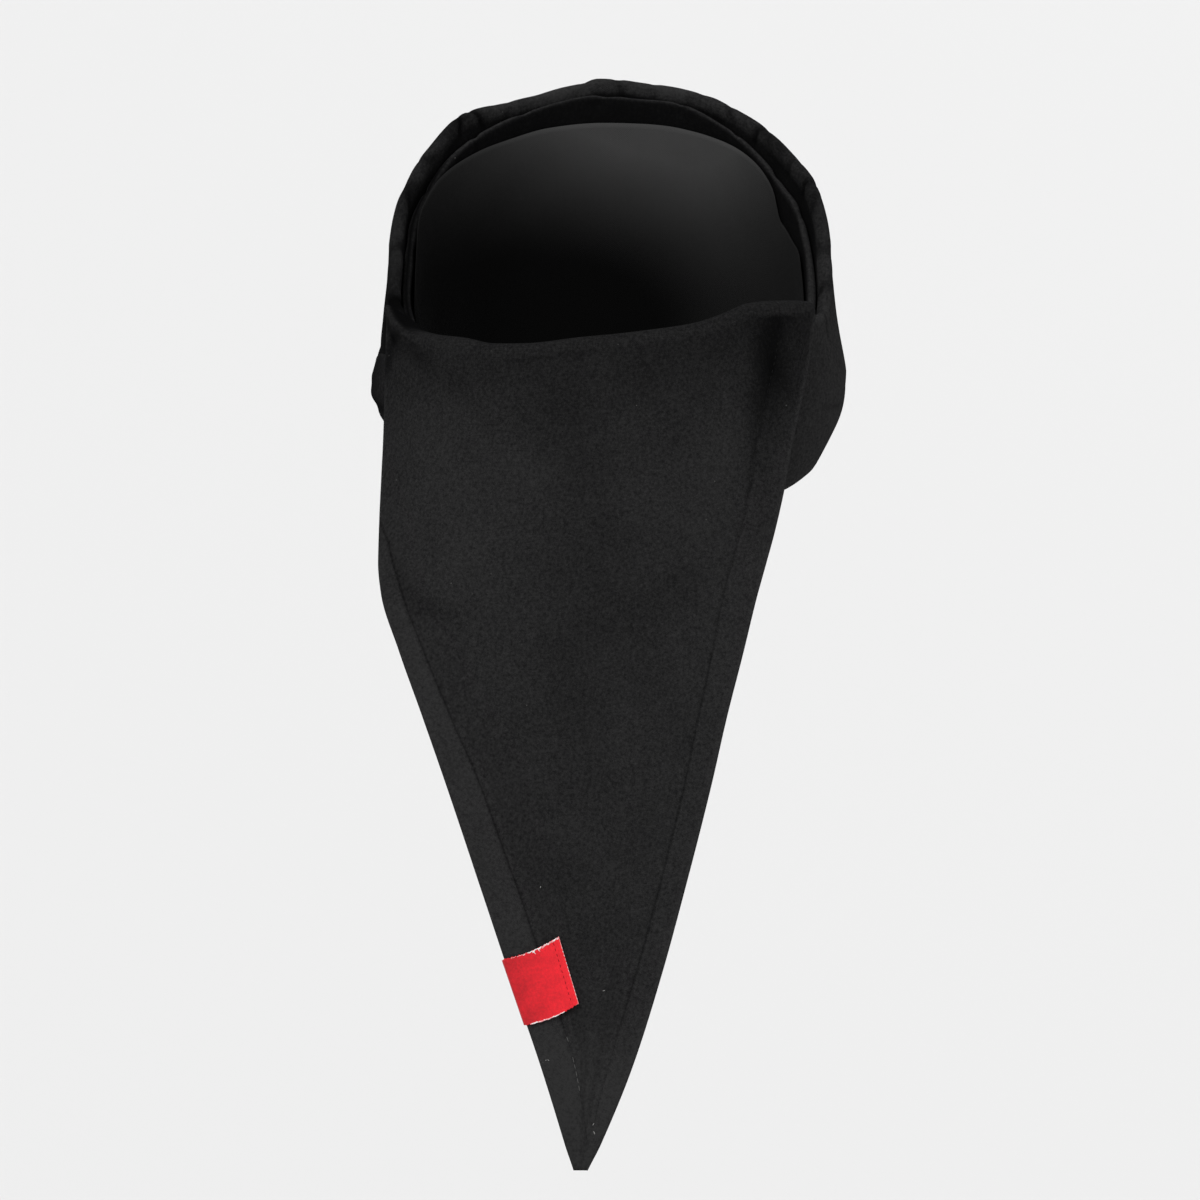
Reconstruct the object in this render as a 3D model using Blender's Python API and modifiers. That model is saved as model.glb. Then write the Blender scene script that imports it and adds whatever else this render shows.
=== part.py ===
"""Black chef neck tie in its worn form, hollow: a folded kerchief wound round the neck, with one
pointed end brought up inside the band, turned over its rim and hung down the chest.

Metres, +Z up. +X is the viewer's right and -Y is towards the viewer. The origin is the middle of
the neck, level with the band's rim at the two sides.
"""
import math
from collections import namedtuple

import bmesh
import bpy
from mathutils import Vector

# ---------------------------------------------------------------- driving sizes, metres

NECK_HALF_WIDTH = 0.0900      # outside of the band, side to side
NECK_HALF_DEPTH = 0.0820      # outside of the band, throat to nape
NECK_FULLNESS = 2.25          # 2 is an ellipse, and more is fuller at the four corners
NECK_LEAN = 0.08              # forward lean of the band for each metre of height

BAND_WALL = 0.0013
FALL_WALL = 0.0014
TAB_WALL = 0.0010
LAYER_GAP = 0.0005            # clear space between one layer of cloth and the next

RIPPLE_HIGH = 0.0007          # soft unevenness that all the wound layers share

# A turn is an angle round the neck in degrees: 0 at the throat, 90 at the viewer's right,
# 180 at the nape and 270 at the viewer's left.

# The band. rim and foot are heights, belly is how far the outer cloth swells between them and
# full the share of the way down where it swells most, roll is how wide its top edge turns over,
# and lining is the inset of the innermost stretch.
BandRow = namedtuple("BandRow", "turn rim foot belly full roll lining")
BAND = (
    BandRow(0, -0.0150, -0.0660, 0.0010, 0.50, 0.0024, 0.0056),
    BandRow(25, -0.0120, -0.0700, 0.0012, 0.50, 0.0024, 0.0058),
    BandRow(45, -0.0040, -0.0715, 0.0022, 0.55, 0.0028, 0.0080),
    BandRow(63, -0.0035, -0.0650, 0.0046, 0.60, 0.0040, 0.0106),
    BandRow(76, -0.0005, -0.0540, 0.0060, 0.60, 0.0045, 0.0112),
    BandRow(83, 0.0070, -0.0490, 0.0060, 0.60, 0.0046, 0.0112),
    BandRow(90, 0.0170, -0.0450, 0.0052, 0.66, 0.0046, 0.0112),
    BandRow(96, 0.0280, -0.0420, 0.0044, 0.75, 0.0046, 0.0112),
    BandRow(103, 0.0390, -0.0380, 0.0038, 0.75, 0.0046, 0.0112),
    BandRow(110, 0.0485, -0.0360, 0.0035, 0.75, 0.0045, 0.0112),
    BandRow(123, 0.0598, -0.0320, 0.0028, 0.70, 0.0044, 0.0112),
    BandRow(139, 0.0728, -0.0290, 0.0022, 0.60, 0.0042, 0.0112),
    BandRow(158, 0.0843, -0.0270, 0.0020, 0.50, 0.0040, 0.0112),
    BandRow(171, 0.0882, -0.0265, 0.0020, 0.50, 0.0040, 0.0112),
    BandRow(182, 0.0902, -0.0260, 0.0020, 0.50, 0.0040, 0.0112),
    BandRow(186, 0.0880, -0.0260, 0.0020, 0.50, 0.0040, 0.0112),
    BandRow(195, 0.0845, -0.0260, 0.0020, 0.50, 0.0040, 0.0112),
    BandRow(208, 0.0800, -0.0270, 0.0020, 0.50, 0.0042, 0.0112),
    BandRow(221, 0.0766, -0.0280, 0.0022, 0.60, 0.0044, 0.0112),
    BandRow(235, 0.0624, -0.0300, 0.0026, 0.70, 0.0045, 0.0112),
    BandRow(250, 0.0462, -0.0340, 0.0030, 0.80, 0.0046, 0.0112),
    BandRow(257, 0.0360, -0.0360, 0.0034, 0.83, 0.0046, 0.0112),
    BandRow(264, 0.0260, -0.0385, 0.0040, 0.84, 0.0046, 0.0112),
    BandRow(270, 0.0160, -0.0410, 0.0050, 0.83, 0.0046, 0.0112),
    BandRow(277, 0.0060, -0.0435, 0.0052, 0.78, 0.0046, 0.0112),
    BandRow(284, -0.0020, -0.0470, 0.0044, 0.66, 0.0045, 0.0112),
    BandRow(297, -0.0100, -0.0550, 0.0024, 0.55, 0.0040, 0.0106),
    BandRow(315, -0.0150, -0.0630, 0.0012, 0.50, 0.0028, 0.0080),
    BandRow(335, -0.0165, -0.0650, 0.0010, 0.50, 0.0024, 0.0058),
    BandRow(360, -0.0150, -0.0660, 0.0010, 0.50, 0.0024, 0.0056),
)

OUTER_START = 45.0            # the turns between which each stretch of the band runs
OUTER_END = 340.0
OUTER_COLUMNS = 60
OUTER_LEG_IN = 0.0220         # how far the rolled edge reaches down inside
FOOT_TUCK = 0.0020            # how far the foot of the outer cloth draws in

# The second fold: the height of its crest.
MiddleRow = namedtuple("MiddleRow", "turn crest")
MIDDLE = (
    MiddleRow(64.0, -0.0068),
    MiddleRow(76.0, -0.0048),
    MiddleRow(83.0, 0.0000),
    MiddleRow(90.0, 0.0078),
    MiddleRow(97.0, 0.0166),
    MiddleRow(105.0, 0.0271),
    MiddleRow(113.0, 0.0385),
    MiddleRow(121.0, 0.0455),
    MiddleRow(132.0, 0.0566),
    MiddleRow(145.5, 0.0686),
    MiddleRow(157.0, 0.0767),
    MiddleRow(162.5, 0.0795),
    MiddleRow(174.0, 0.0813),
    MiddleRow(183.0, 0.0825),
    MiddleRow(192.5, 0.0800),
    MiddleRow(206.0, 0.0739),
    MiddleRow(223.5, 0.0640),
    MiddleRow(233.0, 0.0558),
    MiddleRow(241.0, 0.0480),
    MiddleRow(250.0, 0.0388),
    MiddleRow(257.0, 0.0290),
    MiddleRow(264.0, 0.0190),
    MiddleRow(270.0, 0.0090),
    MiddleRow(277.0, 0.0000),
    MiddleRow(284.0, -0.0070),
)
MIDDLE_COLUMNS = 46
MIDDLE_ROLL = 0.0026
MIDDLE_LEG_OUT = 0.0130
MIDDLE_LEG_IN = 0.0240

# The innermost stretch: the height of its top edge, which has dropped in a wedge at the right.
InnerRow = namedtuple("InnerRow", "turn top")
INNER = (
    InnerRow(14.0, -0.0146),
    InnerRow(25.0, -0.0130),
    InnerRow(45.0, -0.0050),
    InnerRow(63.0, -0.0046),
    InnerRow(76.0, -0.0042),
    InnerRow(84.0, -0.0014),
    InnerRow(91.0, 0.0042),
    InnerRow(97.0, 0.0124),
    InnerRow(102.0, 0.0200),
    InnerRow(110.0, 0.0250),
    InnerRow(116.0, 0.0300),
    InnerRow(119.0, 0.0330),
    InnerRow(123.0, 0.0450),
    InnerRow(129.5, 0.0534),
    InnerRow(135.5, 0.0585),
    InnerRow(142.0, 0.0625),
    InnerRow(148.5, 0.0656),
    InnerRow(156.0, 0.0684),
    InnerRow(165.0, 0.0708),
    InnerRow(173.0, 0.0717),
    InnerRow(181.0, 0.0720),
    InnerRow(196.0, 0.0700),
    InnerRow(208.5, 0.0656),
    InnerRow(222.0, 0.0605),
    InnerRow(233.0, 0.0547),
    InnerRow(243.5, 0.0482),
    InnerRow(253.5, 0.0390),
    InnerRow(260.0, 0.0300),
    InnerRow(264.0, 0.0225),
    InnerRow(270.0, 0.0120),
    InnerRow(277.0, 0.0024),
    InnerRow(283.0, -0.0055),
    InnerRow(287.0, -0.0118),
    InnerRow(292.0, -0.0124),
    InnerRow(298.0, -0.0130),
    InnerRow(315.0, -0.0160),
    InnerRow(335.0, -0.0175),
    InnerRow(346.0, -0.0170),
)
INNER_COLUMNS = 84
INNER_ROWS = 6
INNER_FOOT_RISE = 0.0030

# The crossing runs back over the throat, from the right to the left.
CrossRow = namedtuple("CrossRow", "turn top foot")
CROSS = (
    CrossRow(-96.0, -0.0270, -0.0445),
    CrossRow(-90.0, -0.0215, -0.0490),
    CrossRow(-80.0, -0.0180, -0.0530),
    CrossRow(-66.0, -0.0180, -0.0580),
    CrossRow(-40.0, -0.0220, -0.0650),
    CrossRow(0.0, -0.0200, -0.0680),
    CrossRow(25.0, -0.0140, -0.0715),
    CrossRow(43.5, -0.0100, -0.0720),
)
CROSS_COLUMNS = 30
CROSS_ROWS = 7
CROSS_LIFTED = 28.0           # by this turn it has risen clear of the band that it crosses
CROSS_CLEAR = 0.0009          # clear space under it, more than elsewhere for the band's belly

# The turned-over top edge of the hanging point round the throat: the height of its crest, how
# much lower it starts inside the neck than in front, and how high it arches over the rim.
CrestRow = namedtuple("CrestRow", "turn height lean rise")
CREST = (
    CrestRow(-73, 0.0036, 0.0120, 0.0014),
    CrestRow(-66, -0.0022, 0.0068, 0.0024),
    CrestRow(-57, -0.0059, 0.0032, 0.0040),
    CrestRow(-51, -0.0071, 0.0020, 0.0052),
    CrestRow(-38, -0.0080, 0.0015, 0.0062),
    CrestRow(-28, -0.0098, 0.0015, 0.0062),
    CrestRow(-18, -0.0095, 0.0015, 0.0062),
    CrestRow(-5, -0.0070, 0.0015, 0.0062),
    CrestRow(7, -0.0046, 0.0015, 0.0062),
    CrestRow(22, -0.0014, 0.0015, 0.0062),
    CrestRow(30, 0.0019, 0.0015, 0.0062),
    CrestRow(39, 0.0057, 0.0015, 0.0062),
    CrestRow(47, 0.0062, 0.0015, 0.0062),
    CrestRow(60, 0.0058, 0.0015, 0.0062),
    CrestRow(70.5, 0.0050, 0.0015, 0.0062),
)
CREST_LEFT = -73.0
CREST_RIGHT = 70.5
FALL_IN = 0.0019              # how far its inner leg lies inside the innermost stretch
INNER_LEG_FOOT = -0.0520      # height where the leg inside the neck ends

# The hanging point. left and right are its two edges, front is where its middle line lies,
# half_width is that of the round it bends to, and flatten spreads its columns evenly, from 0
# where they follow the turns of the neck to 1 where they are evenly spaced.
FallRow = namedtuple("FallRow", "height left right front half_width flatten")
FALL = (
    FallRow(0.004, -0.0893, 0.0824, -0.0852, 0.0960, 0.0),
    FallRow(-0.002, -0.0892, 0.0812, -0.0856, 0.0960, 0.0),
    FallRow(-0.008, -0.0890, 0.0803, -0.0862, 0.0961, 0.0),
    FallRow(-0.017, -0.0891, 0.0790, -0.0871, 0.0966, 0.05),
    FallRow(-0.033, -0.0895, 0.0757, -0.0884, 0.0980, 0.1),
    FallRow(-0.051, -0.0900, 0.0716, -0.0898, 0.1005, 0.2),
    FallRow(-0.066, -0.0907, 0.0689, -0.0914, 0.1040, 0.3),
    FallRow(-0.084, -0.0914, 0.0646, -0.0938, 0.1120, 0.5),
    FallRow(-0.097, -0.0916, 0.0608, -0.0957, 0.1210, 0.6),
    FallRow(-0.109, -0.0902, 0.0573, -0.0976, 0.1320, 0.7),
    FallRow(-0.130, -0.0830, 0.0520, -0.1007, 0.1480, 0.8),
    FallRow(-0.154, -0.0739, 0.0457, -0.1043, 0.1700, 0.9),
    FallRow(-0.183, -0.0634, 0.0389, -0.1088, 0.2000, 1.0),
    FallRow(-0.220, -0.0507, 0.0293, -0.1145, 0.2400, 1.0),
    FallRow(-0.255, -0.0388, 0.0196, -0.1198, 0.2800, 1.0),
    FallRow(-0.290, -0.0267, 0.0083, -0.1250, 0.3200, 1.0),
    FallRow(-0.318, -0.0179, -0.0033, -0.1292, 0.3600, 1.0),
    FallRow(-0.3290, -0.0146, -0.0085, -0.1305, 0.3800, 1.0),
)
FALL_DEPTH = 0.0850           # front-to-back half size of the round that it bends to
FALL_TIP = -0.3290
SLOPE_STEP = 0.0005           # half the span over which the cloth's slope is taken,
EDGE_STEP = 0.0040            # and half that over which an edge's direction is taken

# Soft folds of the hanging point, each a trough along a straight line, seen from the front.
FoldRow = namedtuple("FoldRow", "x_from z_from x_to z_to width depth")
FOLDS = (
    FoldRow(0.0660, -0.0080, 0.0560, -0.0900, 0.0060, 0.0016),
    FoldRow(0.0500, -0.0120, 0.0420, -0.1300, 0.0120, -0.0010),
    FoldRow(-0.0840, -0.0060, -0.0700, -0.0240, 0.0034, 0.0013),
    FoldRow(-0.0800, -0.0080, -0.0560, -0.0340, 0.0040, 0.0012),
    FoldRow(-0.0600, -0.0200, -0.0640, -0.1600, 0.0160, -0.0012),
    FoldRow(-0.0200, -0.0140, -0.0100, -0.2000, 0.0180, 0.0010),
)

FOLD_START = (-0.1, 0.25)     # shares of a fold's length over which it deepens,
FOLD_END = (0.6, 1.1)         # and over which it fades out again
FALL_COLUMNS = 26

HEM_WIDTH = 0.0145
HEM_INSET = 0.0006            # the turned edge stays this far inside the edge that it backs
HEM_TOP = -0.0300
HEM_FOOT = -0.3120
HEM_COLUMNS = 3
HEM_ROWS = 30
RETURN_WIDTH = 0.0360         # width of the folded-under edge at the top of the left side
RETURN_TOP = -0.0180
RETURN_CORNER = -0.1100       # height where the folded-under edge has narrowed to the hem

TAB_REACH = 0.0230            # from the edge inwards, on each side
TAB_HEIGHT = 0.0268
TAB_MIDDLE = -0.2605          # height of the tab's middle on the left edge
TAB_PROUD = 0.0007            # how far its fold stands past the edge
TAB_GAP = 0.0004
TAB_ROWS = 4


# ---------------------------------------------------------------- reading the tables

def read(rows, column, at):
    """The value of a column at a place between rows, on a smooth curve that never overshoots."""
    places = [row[0] for row in rows]
    values = [getattr(row, column) for row in rows]
    if places[0] > places[-1]:
        places.reverse()
        values.reverse()
    at = min(max(at, places[0]), places[-1])
    last = len(places) - 2
    index = min(sum(1 for place in places[1:] if place < at), last)
    steps = [(values[i + 1] - values[i]) / (places[i + 1] - places[i]) for i in range(last + 1)]

    def slope(i):
        if i == 0:
            return steps[0]
        if i == last + 1:
            return steps[-1]
        before, after = steps[i - 1], steps[i]
        if before * after <= 0.0:
            return 0.0
        return 2.0 * before * after / (before + after)

    span = places[index + 1] - places[index]
    t = (at - places[index]) / span
    rise = values[index + 1] - values[index]
    start = slope(index) * span
    end = slope(index + 1) * span
    return values[index] + t * (start + t * (3 * rise - 2 * start - end
                                             + t * (start + end - 2 * rise)))


def band(column, turn):
    """A column of the band's table at any turn."""
    return read(BAND, column, turn % 360.0)


def mix(first, second, share):
    """A value that is share of the way from the first to the second."""
    return first + (second - first) * share


def ease(low, high, at):
    """0 up to low, 1 from high on, and a soft curve between."""
    t = min(max((at - low) / (high - low), 0.0), 1.0)
    return t * t * (3.0 - 2.0 * t)


# ---------------------------------------------------------------- the round of the neck

def round_of_neck(turn):
    """Shares of the half width and half depth at a turn."""
    angle = math.radians(turn)
    across = math.copysign(abs(math.sin(angle)) ** (2.0 / NECK_FULLNESS), math.sin(angle))
    along = math.copysign(abs(math.cos(angle)) ** (2.0 / NECK_FULLNESS), -math.cos(angle))
    return across, along


def ripple(turn, height):
    """Soft unevenness of the wound cloth."""
    angle = math.radians(turn)
    slow = math.sin(7.0 * angle + 38.0 * height + 0.6)
    quick = math.sin(13.0 * angle - 55.0 * height + 2.1)
    return RIPPLE_HIGH * (0.6 * slow + 0.4 * quick)


def neck_point(turn, inset, height):
    """A point at a turn and height, set inwards from the outside of the band."""
    across, along = round_of_neck(turn)
    inset -= ripple(turn, height)
    x = across * (NECK_HALF_WIDTH - inset)
    y = along * (NECK_HALF_DEPTH - inset) - NECK_LEAN * height
    return Vector((x, y, height))


def outer_face_inset(turn, height):
    """Inset of the outer cloth's middle at a height: its belly, and its foot drawn in."""
    rim = band("rim", turn)
    foot = band("foot", turn)
    down = min(max((rim - height) / (rim - foot), 0.0), 1.0)
    skew = math.log(0.5) / math.log(band("full", turn))
    swell = band("belly", turn) * math.sin(math.pi * down ** skew)
    return BAND_WALL / 2 - swell + FOOT_TUCK * down ** 4


# ---------------------------------------------------------------- making a wall of cloth

def material(name, colour, roughness):
    """A plain matt finish."""
    made = bpy.data.materials.new(name)
    made.use_nodes = True
    shader = made.node_tree.nodes["Principled BSDF"]
    shader.inputs["Base Color"].default_value = (*colour, 1.0)
    shader.inputs["Roughness"].default_value = roughness
    shader.inputs["Metallic"].default_value = 0.0
    return made


def cloth_wall(name, columns, rows, place, wall, finish):
    """A grid of columns by rows, each point set by place(across, down), thickened both ways."""
    work = bmesh.new()
    bmesh.ops.create_grid(work, x_segments=columns, y_segments=rows, size=1.0)
    for point in work.verts:
        across = (point.co.x + 1.0) / 2.0
        down = (1.0 - point.co.y) / 2.0
        point.co = place(across, down)
    mesh = bpy.data.meshes.new(name)
    work.to_mesh(mesh)
    work.free()
    mesh.materials.append(finish)
    mesh.shade_smooth()
    piece = bpy.data.objects.new(name, mesh)
    collection.objects.link(piece)
    thick = piece.modifiers.new("cloth thickness", "SOLIDIFY")
    thick.thickness = wall
    thick.offset = 0.0
    return piece


# ---------------------------------------------------------------- the wound band

def rolled_profile(turn, share, crest, roll, first_inset, leg_out, leg_in, counts):
    """A point of an upside-down U at a turn: up the outer leg, over the roll, down the inner.

    counts gives the number of grid steps in the outer leg, the roll and the inner leg.
    """
    out_steps, roll_steps, in_steps = counts
    step = share * (out_steps + roll_steps + in_steps)
    radius = roll / 2.0
    shoulder = crest - radius
    if step <= out_steps:
        height = mix(leg_out, shoulder, step / out_steps)
        return neck_point(turn, first_inset(height), height)
    edge = first_inset(shoulder)
    if step <= out_steps + roll_steps:
        angle = math.pi * (step - out_steps) / roll_steps
        inset = edge + radius - radius * math.cos(angle)
        return neck_point(turn, inset, shoulder + radius * math.sin(angle))
    down = (step - out_steps - roll_steps) / in_steps
    return neck_point(turn, edge + roll, shoulder - leg_in * down)


def build_neck_band_outer(finish):
    counts = (8, 4, 2)

    def place(across, down):
        turn = mix(OUTER_START, OUTER_END, across)
        rim = band("rim", turn) - BAND_WALL / 2

        def inset(height):
            return outer_face_inset(turn, height)

        return rolled_profile(turn, down, rim, band("roll", turn), inset,
                              band("foot", turn), OUTER_LEG_IN, counts)

    return cloth_wall("neck_band_outer", OUTER_COLUMNS, sum(counts), place, BAND_WALL, finish)


def build_neck_band_middle(finish):
    counts = (2, 4, 2)

    def place(across, down):
        turn = mix(MIDDLE[0].turn, MIDDLE[-1].turn, across)
        crest = read(MIDDLE, "crest", turn)
        start = BAND_WALL * 2 + LAYER_GAP + band("roll", turn) - BAND_WALL / 2

        def inset(height):
            return start

        return rolled_profile(turn, down, crest, MIDDLE_ROLL, inset,
                              crest - MIDDLE_LEG_OUT, MIDDLE_LEG_IN, counts)

    return cloth_wall("neck_band_middle", MIDDLE_COLUMNS, sum(counts), place, BAND_WALL, finish)


def build_neck_band_inner(finish):

    def place(across, down):
        turn = mix(INNER[0].turn, INNER[-1].turn, across)
        foot = band("foot", turn) + INNER_FOOT_RISE
        height = mix(read(INNER, "top", turn), foot, down)
        return neck_point(turn, band("lining", turn), height)

    return cloth_wall("neck_band_inner", INNER_COLUMNS, INNER_ROWS, place, BAND_WALL, finish)


def build_throat_cross(finish):

    def place(across, down):
        turn = mix(CROSS[0].turn, CROSS[-1].turn, across)
        lift = (BAND_WALL + CROSS_CLEAR) * (1.0 - ease(CROSS_LIFTED, CROSS[-1].turn, turn))
        height = mix(read(CROSS, "top", turn), read(CROSS, "foot", turn), down)
        return neck_point(turn, outer_face_inset(turn, height) - lift, height)

    return cloth_wall("throat_cross", CROSS_COLUMNS, CROSS_ROWS, place, BAND_WALL, finish)


# ---------------------------------------------------------------- the hanging point

def fold_relief(x, z):
    """How far the cloth's folds set it back at a place seen from the front."""
    total = 0.0
    for fold in FOLDS:
        run_x = fold.x_to - fold.x_from
        run_z = fold.z_to - fold.z_from
        length = math.hypot(run_x, run_z)
        along = ((x - fold.x_from) * run_x + (z - fold.z_from) * run_z) / length ** 2
        beside = ((x - fold.x_from) * run_z - (z - fold.z_from) * run_x) / length
        ends = ease(*FOLD_START, along) * (1.0 - ease(*FOLD_END, along))
        total += fold.depth * ends * math.exp(-(beside / fold.width) ** 2)
    return total


def fall_front(x, z):
    """A point of the hanging cloth's middle surface."""
    half_width = read(FALL, "half_width", z)
    share = min(abs(x) / half_width, 1.0)
    bend = 1.0 - (1.0 - share ** NECK_FULLNESS) ** (1.0 / NECK_FULLNESS)
    y = read(FALL, "front", z) + FALL_DEPTH * bend
    return Vector((x, y + fold_relief(x, z), z))


def fall_lifted(x, z, lift):
    """A point beside the hanging cloth: lift is along its outward face, towards the viewer."""
    step = SLOPE_STEP
    along_x = fall_front(x + step, z) - fall_front(x - step, z)
    along_z = fall_front(x, z + step) - fall_front(x, z - step)
    outward = along_x.cross(along_z).normalized()
    return fall_front(x, z) + outward * lift


def fall_column(across, z):
    """How far across the cloth a column stands, from its left edge to its right, at a height."""
    turn = mix(CREST_LEFT, CREST_RIGHT, across)
    left = round_of_neck(CREST_LEFT)[0]
    right = round_of_neck(CREST_RIGHT)[0]
    bent = (round_of_neck(turn)[0] - left) / (right - left)
    share = mix(bent, across, read(FALL, "flatten", z))
    return mix(read(FALL, "left", z), read(FALL, "right", z), share)


def build_front_fall(finish):
    leg_steps, arch_steps, hang_steps = 3, 6, 32

    def place(across, down):
        step = down * (leg_steps + arch_steps + hang_steps)
        turn = mix(CREST_LEFT, CREST_RIGHT, across)
        crest = read(CREST, "height", turn) - FALL_WALL / 2
        rise = read(CREST, "rise", turn)
        spring = crest - rise
        inner_spring = spring - read(CREST, "lean", turn)
        inside = band("lining", turn) + FALL_IN
        if step >= leg_steps + arch_steps:
            share = (step - leg_steps - arch_steps) / hang_steps
            z = mix(spring, FALL_TIP, share)
            return fall_front(fall_column(across, z), z)
        if step <= leg_steps:
            height = mix(INNER_LEG_FOOT, inner_spring, step / leg_steps)
            return neck_point(turn, inside, height)
        angle = math.pi * (step - leg_steps) / arch_steps
        outer = fall_front(fall_column(across, spring), spring)
        inner = neck_point(turn, inside, inner_spring)
        reach = (1.0 - math.cos(angle)) / 2.0
        point = inner.lerp(outer, reach)
        point.z = mix(inner_spring, spring, reach) + rise * math.sin(angle)
        return point

    rows = leg_steps + arch_steps + hang_steps
    return cloth_wall("front_fall", FALL_COLUMNS, rows, place, FALL_WALL, finish)


def edge_direction(side, z):
    """Unit vector down an edge of the hanging cloth, seen from the front."""
    run = read(FALL, side, z - EDGE_STEP) - read(FALL, side, z + EDGE_STEP)
    return Vector((run, 0.0, -2.0 * EDGE_STEP)).normalized()


def build_hem(name, side, top, finish):
    inwards = 1.0 if side == "left" else -1.0
    lift = -(FALL_WALL / 2 + LAYER_GAP + BAND_WALL / 2)

    def place(across, down):
        z = mix(top, HEM_FOOT, down)
        edge = read(FALL, side, z) + inwards * HEM_INSET
        wide = HEM_WIDTH / abs(edge_direction(side, z).z)
        if side == "left":
            wide = mix(wide, RETURN_WIDTH, ease(RETURN_CORNER, RETURN_TOP, z))
        room = 0.5 * (read(FALL, "right", z) - read(FALL, "left", z)) - HEM_INSET - LAYER_GAP
        x = edge + inwards * min(wide, room) * across
        return fall_lifted(x, z, lift)

    return cloth_wall(name, HEM_COLUMNS, HEM_ROWS, place, BAND_WALL, finish)


def build_edge_label(finish):
    """A woven tab folded round the left edge: its front, its fold and its back."""
    stack = FALL_WALL + LAYER_GAP + BAND_WALL
    front = FALL_WALL / 2 + TAB_GAP + TAB_WALL / 2
    back = front - (stack + 2 * TAB_GAP + TAB_WALL)
    edge_x = read(FALL, "left", TAB_MIDDLE)
    down_edge = edge_direction("left", TAB_MIDDLE)
    across_edge = Vector((-down_edge.z, 0.0, down_edge.x))
    corner = Vector((edge_x, 0.0, TAB_MIDDLE))
    flat_steps, fold_steps = 4, 4

    def place(across, down):
        step = across * (2 * flat_steps + fold_steps)
        if step <= flat_steps:
            inward = TAB_REACH * (1.0 - step / flat_steps)
            lift = front
        elif step >= flat_steps + fold_steps:
            inward = TAB_REACH * (step - flat_steps - fold_steps) / flat_steps
            lift = back
        else:
            angle = math.pi * (step - flat_steps) / fold_steps
            inward = -(TAB_PROUD + TAB_WALL / 2) * math.sin(angle)
            lift = mix(front, back, (1.0 - math.cos(angle)) / 2.0)
        spot = corner + across_edge * inward + down_edge * (TAB_HEIGHT * (down - 0.5))
        return fall_lifted(spot.x, spot.z, lift)

    return cloth_wall("edge_label", 2 * flat_steps + fold_steps, TAB_ROWS, place, TAB_WALL, finish)


# ---------------------------------------------------------------- the tie

for leftover in list(bpy.data.objects):
    bpy.data.objects.remove(leftover, do_unlink=True)

collection = bpy.data.collections.new("chef_neck_tie")
bpy.context.scene.collection.children.link(collection)

black_cloth = material("black cloth", (0.016, 0.016, 0.017), 0.85)
black_lining = material("black lining side", (0.012, 0.012, 0.013), 0.90)
red_tab = material("red woven tab", (0.55, 0.012, 0.025), 0.70)

build_neck_band_outer(black_cloth)
build_neck_band_middle(black_cloth)
build_neck_band_inner(black_lining)
build_throat_cross(black_cloth)
build_front_fall(black_cloth)
build_hem("hem_left", "left", RETURN_TOP, black_cloth)
build_hem("hem_right", "right", HEM_TOP, black_cloth)
build_edge_label(red_tab)
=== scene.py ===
"""A worn chef neck tie: black cloth, red tab. Metres, +Z up, +X the viewer's right, -Y the viewer.

The tables are written in millimetres and degrees.
"""
import math
from collections import namedtuple

import bmesh
import bpy
import numpy as np
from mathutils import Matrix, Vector


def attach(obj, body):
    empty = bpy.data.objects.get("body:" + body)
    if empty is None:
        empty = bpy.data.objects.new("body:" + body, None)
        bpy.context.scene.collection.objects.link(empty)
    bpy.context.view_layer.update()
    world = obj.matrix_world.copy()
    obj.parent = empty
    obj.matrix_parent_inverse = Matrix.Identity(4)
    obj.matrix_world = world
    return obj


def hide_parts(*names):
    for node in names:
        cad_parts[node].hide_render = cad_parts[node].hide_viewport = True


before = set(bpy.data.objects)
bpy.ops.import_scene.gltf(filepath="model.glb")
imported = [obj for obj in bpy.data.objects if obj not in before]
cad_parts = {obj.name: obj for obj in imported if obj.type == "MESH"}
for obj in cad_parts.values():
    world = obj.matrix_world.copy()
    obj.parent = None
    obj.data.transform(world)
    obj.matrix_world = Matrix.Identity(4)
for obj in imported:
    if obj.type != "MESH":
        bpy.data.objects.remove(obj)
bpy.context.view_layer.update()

# ================ outer stretch of the neck band
# The outermost stretch of the folded kerchief, wound round the neck from the throat on the
# right, round the nape, to the throat on the left. Black plain-woven cotton and polyester. It
# is only folded: its top edge rolls over inwards, its foot is a fold, and winding holds it.

NECK_HALF_WIDTH = 0.0900
NECK_HALF_DEPTH = 0.0820
NECK_FULLNESS = 2.25          # 2 is an ellipse, and more is fuller at the four corners
NECK_LEAN = 0.08              # forward lean of the band for each metre of height
RIPPLE_HIGH = 0.0007          # how far the wound cloth waves in and out

BAND_WALL = 0.0013            # a wound layer with its folded plies
CLOTH = 0.0005                # one ply of the cloth
PROUD = (BAND_WALL - CLOTH) / 2   # from a layer's middle out to its outer ply
LAYER_GAP = 0.0005            # between one wound layer and the next

NOT_LENGTHS = ("turn", "to_turn", "full", "flatten", "slant")


def table(columns, *rows):
    """Rows with named columns. Lengths are written in millimetres and kept in metres."""
    row_of = namedtuple("row_of", columns)
    return [row_of(*(value if column in NOT_LENGTHS else value / 1000.0
                     for column, value in zip(row_of._fields, row))) for row in rows]


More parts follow.
